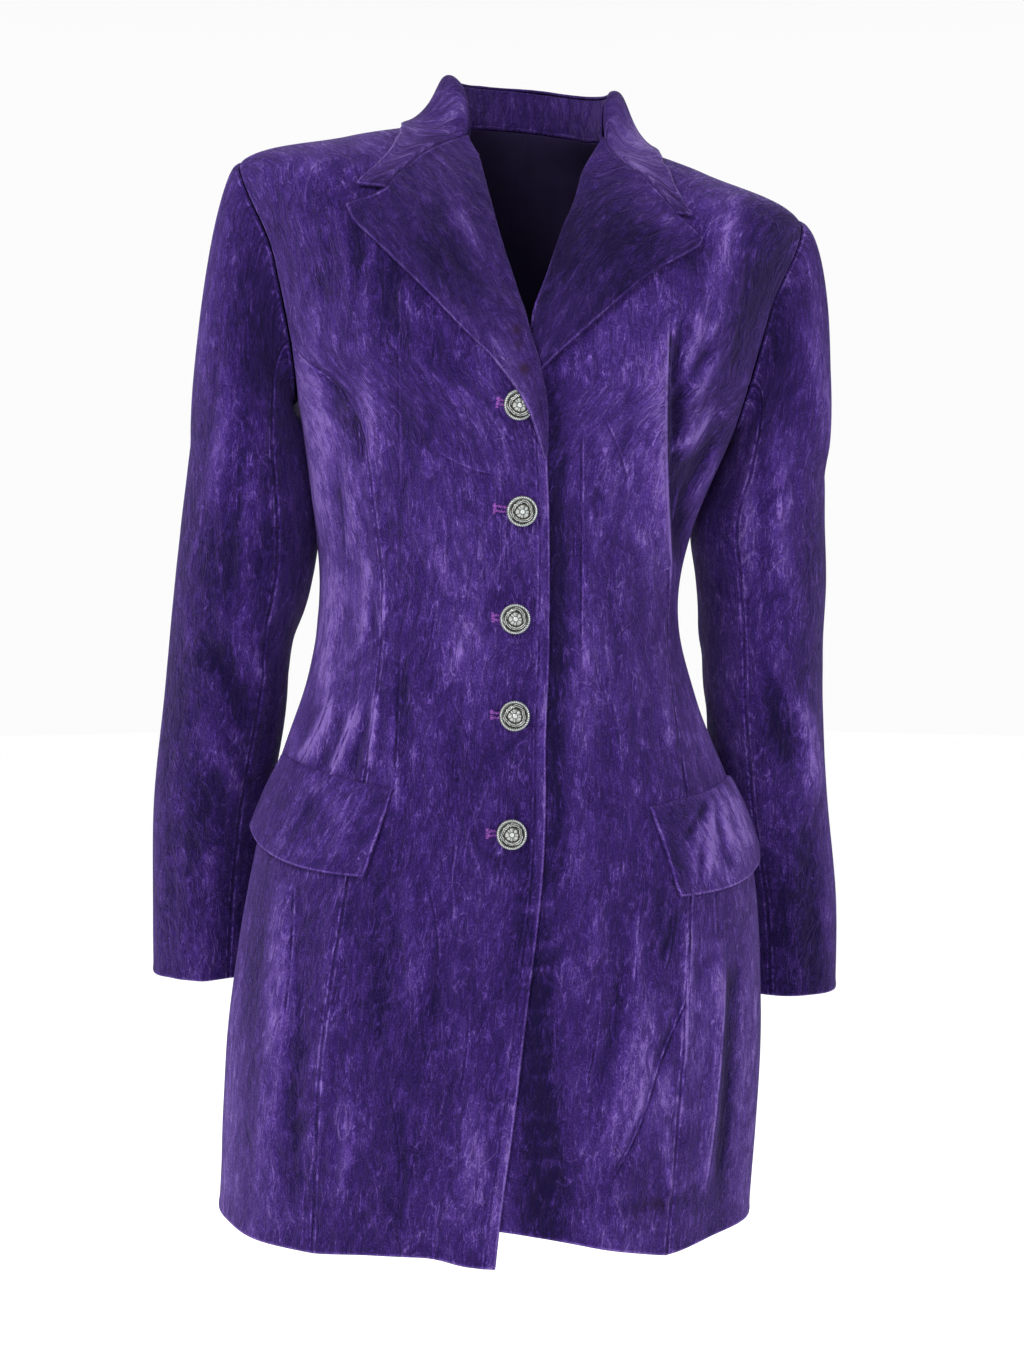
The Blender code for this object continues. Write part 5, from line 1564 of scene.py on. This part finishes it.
def antique_silver():
    """Worn silver: bright on what stands up, dark and dull in the hollows."""
    f = Finish("antique_silver")
    spots = f.spots(Scale=1400.0, Detail=3.0, Roughness=0.65)
    raised = f.attribute("raised") + (spots - 0.5) * 0.50
    f.wear(Base_Color=f.ramp(raised, [(0.08, (0.028, 0.028, 0.026)), (0.40, (0.20, 0.20, 0.185)),
                                      (0.74, (0.50, 0.52, 0.51)), (1.0, (0.80, 0.86, 0.88))]),
           Metallic=0.92, Roughness=raised.step(0.0, 1.0, 0.62, 0.30), Specular_IOR_Level=0.5,
           Normal=f.bump(spots, 0.00008, 0.5))
    return f.material


def lavender_thread():
    """Glossy twisted thread, lighter and pinker than the cloth."""
    f = Finish("lavender_thread")
    tint = f.spots(Scale=900.0, Detail=2.0)
    f.wear(Base_Color=f.ramp(tint, [(0.3, (0.105, 0.022, 0.200)), (0.7, (0.330, 0.095, 0.500))]),
           Roughness=0.5 + tint * 0.2, Specular_IOR_Level=0.35)
    return f.material


silver = antique_silver()
thread = lavender_thread()

# %% Buttons
BUTTON_R, BUTTON_H = 0.0115, 0.0064
BUTTONS = [(-4.2, 5.02, 0.0), (1.8, 5.98, 0.0003), (0.9, 7.12, 0.0009), (-1.0, 8.10, 0.0005),
           (-3.4, 8.88, 0.0)]       # a, t and how far each stands off the hollow of the waist
HOLES = [0.0145, 0.0188, 0.0150, 0.0156, 0.0165]    # from each button's middle to its hole's end
SPOKES = 120
DOME = np.array([(0.0, 0.0), (0.0028, 0.0), (0.0028, 0.0014), (0.0104, 0.0019), (0.0112, 0.0025),
                 (0.0112, 0.0031), (0.0106, 0.0035), (0.0094, 0.0037), (0.0090, 0.0042)])
FACE_UP, CROWN_R = 0.0042, 0.0092       # height where the face begins, radius of its curve
RELIEF, ROOM = 0.00055, 0.0006          # height of the relief, and the height kept free for it
ROPE_R, ROPE_UP, STRANDS = 0.0101, 0.0040, 40


def rosette(r, w):
    """Relief (0 to 1) of the button's face: a boss, eight petals and a ring of scrolls."""
    r = r / BUTTON_R * (1 + 0.07 * np.sin(3 * w + 1.0))
    w = w + 0.16 * np.sin(3 * w) + 0.10 * np.sin(5 * w + 2.0)
    boss = smooth((0.17 - r) / 0.05) * 0.9
    ring = lambda start, rise, end, fall: smooth((r - start) / rise) * smooth((end - r) / fall)
    petals = np.abs(np.cos(4 * w)) ** 0.6 * ring(0.16, 0.06, 0.46, 0.10)
    vein = 0.35 * np.exp(-(np.sin(4 * w) / 0.12) ** 2) * ring(0.2, 0.05, 0.42, 0.06)
    swirl = 7.0 * np.sin(9.0 * (r - 0.62)) * np.sign(np.sin(4.5 * w))
    scroll = smooth(0.5 + 1.6 * np.sin(9 * w + swirl)) * ring(0.49, 0.03, 0.74, 0.04)
    return np.clip(boss + petals * 0.85 - vein + scroll * 0.8, 0, 1)


def button_frame(a, t, off):
    """Foot, axis, side and up of a button on the right front."""
    def surface(q, w):
        lift = np.asarray(right_lift(q, w))[..., None]
        return folded(q, w) + lift * outward(folded, q, w)

    a, t = np.float64(a), np.float64(t)
    axis = outward(surface, a, t)
    foot = surface(a, t) + axis * (WALL / 2 + GAP + off)
    side = unit(np.cross(np.array([0.0, 0.0, 1.0]), axis))
    return foot, axis, side, np.cross(axis, side)


def button(number, a, t, off):
    """A cast button: back, shank and relief face as one mesh, with a rope rim of slanted beads."""
    foot, axis, side, up = button_frame(a, t, off)
    r_face = np.linspace(0.0088, 0.0, 34)
    crown = FACE_UP + (BUTTON_H - ROOM - FACE_UP) * (1 - (r_face / CROWN_R) ** 2)
    r = np.concatenate([DOME[1:, 0], r_face[:-1]])
    z = np.concatenate([DOME[1:, 1], crown[:-1]])
    w = np.linspace(0, 2 * np.pi, SPOKES, endpoint=False) + 0.3 * number
    rr, ww = np.meshgrid(r, w, indexing="ij")
    zz = np.repeat(z[:, None], SPOKES, 1)
    raised = np.zeros(rr.shape)
    face_rows = np.arange(len(r)) >= len(DOME) - 1
    raised[face_rows] = rosette(rr[face_rows], ww[face_rows])
    raised[:len(DOME) - 1] = 0.35
    zz = zz + raised * RELIEF * face_rows[:, None]
    spin = np.cos(ww)[..., None] * side + np.sin(ww)[..., None] * up
    ring_points = foot + rr[..., None] * spin + zz[..., None] * axis
    tip = foot + axis * (BUTTON_H - 0.0001)
    verts = np.vstack([foot[None], ring_points.reshape(-1, 3), tip[None]])
    rows = len(r)
    index = 1 + np.arange(rows * SPOKES).reshape(rows, SPOKES)
    after = np.roll(index, -1, 1)
    quads = np.stack([index[:-1], after[:-1], after[1:], index[1:]], -1).reshape(-1, 4).tolist()
    last = len(verts) - 1
    tips = [[0, j, i] for i, j in zip(index[0], after[0])]
    tips += [[i, j, last] for i, j in zip(index[-1], after[-1])]
    mesh = bpy.data.meshes.new("button")
    mesh.from_pydata(verts.tolist(), [], quads + tips)
    mesh.materials.append(silver)
    mesh.shade_smooth()
    store(mesh, "raised", np.concatenate([[0.2], raised.reshape(-1), [0.9]]))
    body_part = placed("button_%d_metal" % number, mesh)

    w = np.linspace(0, 2 * np.pi, STRANDS, endpoint=False)
    radial = np.cos(w)[:, None] * side + np.sin(w)[:, None] * up
    tangent = -np.sin(w)[:, None] * side + np.cos(w)[:, None] * up
    at = foot + radial * ROPE_R + axis * ROPE_UP
    rope = beads("button_rope", at, unit(tangent + radial * 0.9), axis + 0.35 * radial, silver,
                 Length=0.0023, Width=0.00105, Height=0.0013, Unevenness=0.05, Seed=number)
    store(rope, "raised", np.full(len(rope.vertices), 0.86))
    rope_part = placed("button_rope", rope)
    with bpy.context.temp_override(active_object=body_part, object=body_part,
                                   selected_objects=[body_part, rope_part],
                                   selected_editable_objects=[body_part, rope_part]):
        bpy.ops.object.join()
    return body_part


buttons = [button(number, *row) for number, row in enumerate(BUTTONS, 1)]
print("buttons:", len(buttons), "points each:", len(buttons[0].data.vertices))

# %% Buttonholes
BAR_OFF, BAR_LONG = 0.0016, 0.0021      # from the slit to each row, and a stitch's length
STITCH = 0.00056                        # a stitch's width, and the step to the next one


def buttonhole(number, a, t):
    """Thread of one buttonhole: two rows of close stitches and a bar across their end."""
    across, down = 0.2, 0.01
    step_a = folded(a + across, t) - folded(a - across, t)
    step_t = folded(a, t + down) - folded(a, t - down)
    metre_a, metre_t = 2 * across / np.linalg.norm(step_a), 2 * down / np.linalg.norm(step_t)
    end = HOLES[number - 1]
    u = np.arange(-end, -0.004, STITCH)
    rows = [(x, v, 0) for v in (-BAR_OFF, BAR_OFF) for x in u]
    rows += [(-end - 0.0009 + 0.0006 * k, v, 1)
             for k in (0, 1) for v in np.arange(-0.0034, 0.0035, STITCH)]
    u, v, bar = np.array(rows).T
    ragged = np.sin(12.9898 * np.arange(len(u)) + number) * 0.5
    u, v = u + ragged * 0.0004 * bar, v + np.sin(ragged * 91.7) * 0.0004
    qa, qt = a + u * metre_a, t - v * metre_t
    normal = outward(folded, qa, qt)
    lift = right_lift(qa, qt) + body_relief(qa, qt)[0] + WALL / 2 + 0.0002
    at = folded(qa, qt) + normal * lift[:, None]
    right, high = unit(step_a), unit(-step_t)
    lean = 0.34 * np.sin(9.1 * np.arange(len(u)))[:, None] * right
    along = np.where(bar[:, None] > 0, right, high) + lean
    return beads("stitches", at, along, normal, thread, Length=BAR_LONG, Width=STITCH,
                 Height=0.00062, Unevenness=0.30, Seed=number)


stitches = [placed("buttonhole_%d_thread" % number, buttonhole(number, *row[:2]))
            for number, row in enumerate(BUTTONS, 1)]
print("stitches per buttonhole:", len(stitches[0].data.vertices) // 42)    # 42 points to a bead

# %% [markdown]
# ## Attach
# Every cloth piece rides on the blazer's one body and hides its CAD solid; the flat size it was
# cut to is measured along the grid of each piece.

# %% Attach the cloth
LEAST_FILLED = 0.3     # least share of its width x length that a cut may fill
for name, entry in pieces.items():
    ob = entry["object"]
    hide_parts(entry["node"])
    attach(ob, "root")
    width, length, area = entry["cut"]
    area = min(max(area, LEAST_FILLED * width * length), width * length)

# %% Attach buttons and thread
for number, (ob, sewn_on) in enumerate(zip(buttons, stitches), 1):
    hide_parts("button_%d" % number)
    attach(ob, "root")
    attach(sewn_on, "root")

# %% [markdown]
# ## Studio
# A plain pale floor and a pale world, with one large soft light from the front left, a weaker
# one from the right and one from behind to bring out the rim of the pile.

# %% Floor, world and lights
FLOOR_R, FLOOR_Z, CORNERS = 9, -1.45, 96
turns = np.linspace(0, 2 * math.pi, CORNERS + 1)[:-1]
floor_mesh = bpy.data.meshes.new("floor")
floor_mesh.from_pydata([(FLOOR_R * math.cos(w), FLOOR_R * math.sin(w), FLOOR_Z) for w in turns],
                       [], [list(range(CORNERS))])
floor = placed("floor", floor_mesh)
pale = Finish("pale_floor")
pale.wear(Base_Color=(0.86, 0.86, 0.87, 1.0), Roughness=0.8, Emission_Color=(1.0, 1.0, 1.0, 1.0),
          Emission_Strength=0.54)
floor_mesh.materials.append(pale.material)

world = bpy.data.worlds.new("studio")
bpy.context.scene.world = world
world.use_nodes = True
sky = Nodes(world.node_tree)
direction = sky.node("ShaderNodeTexCoord", output="Generated")
height = sky.node("ShaderNodeSeparateXYZ", {}, {0: direction}, "Z")
glow = height.step(0.20, 0.55, 0.97, 0.42)        # white round the horizon, dimmer overhead
background = sky.tree.nodes["Background"].inputs
sky.put(background["Strength"], glow)
sky.put(background["Color"], (1.0, 1.0, 1.0, 1.0))


def soft_light(name, place, target, size, power):
    """A square area light that looks at a target."""
    data = bpy.data.lights.new(name, "AREA")
    data.shape, data.size, data.energy = "SQUARE", size, power
    lamp = placed(name, data)
    lamp.location = place
    lamp.rotation_mode = "QUATERNION"
    lamp.rotation_quaternion = (Vector(target) - Vector(place)).to_track_quat("-Z", "Y")


soft_light("key", (-1.5, -1.9, 1.7), (0, 0, -0.35), 0.9, 62.0)
soft_light("fill", (2.0, -1.6, 0.4), (0, 0, -0.4), 1.4, 10.0)
soft_light("back", (0.4, 2.2, 1.3), (0, 0, -0.3), 1.5, 24.0)
bpy.context.scene.view_settings.view_transform = "Standard"
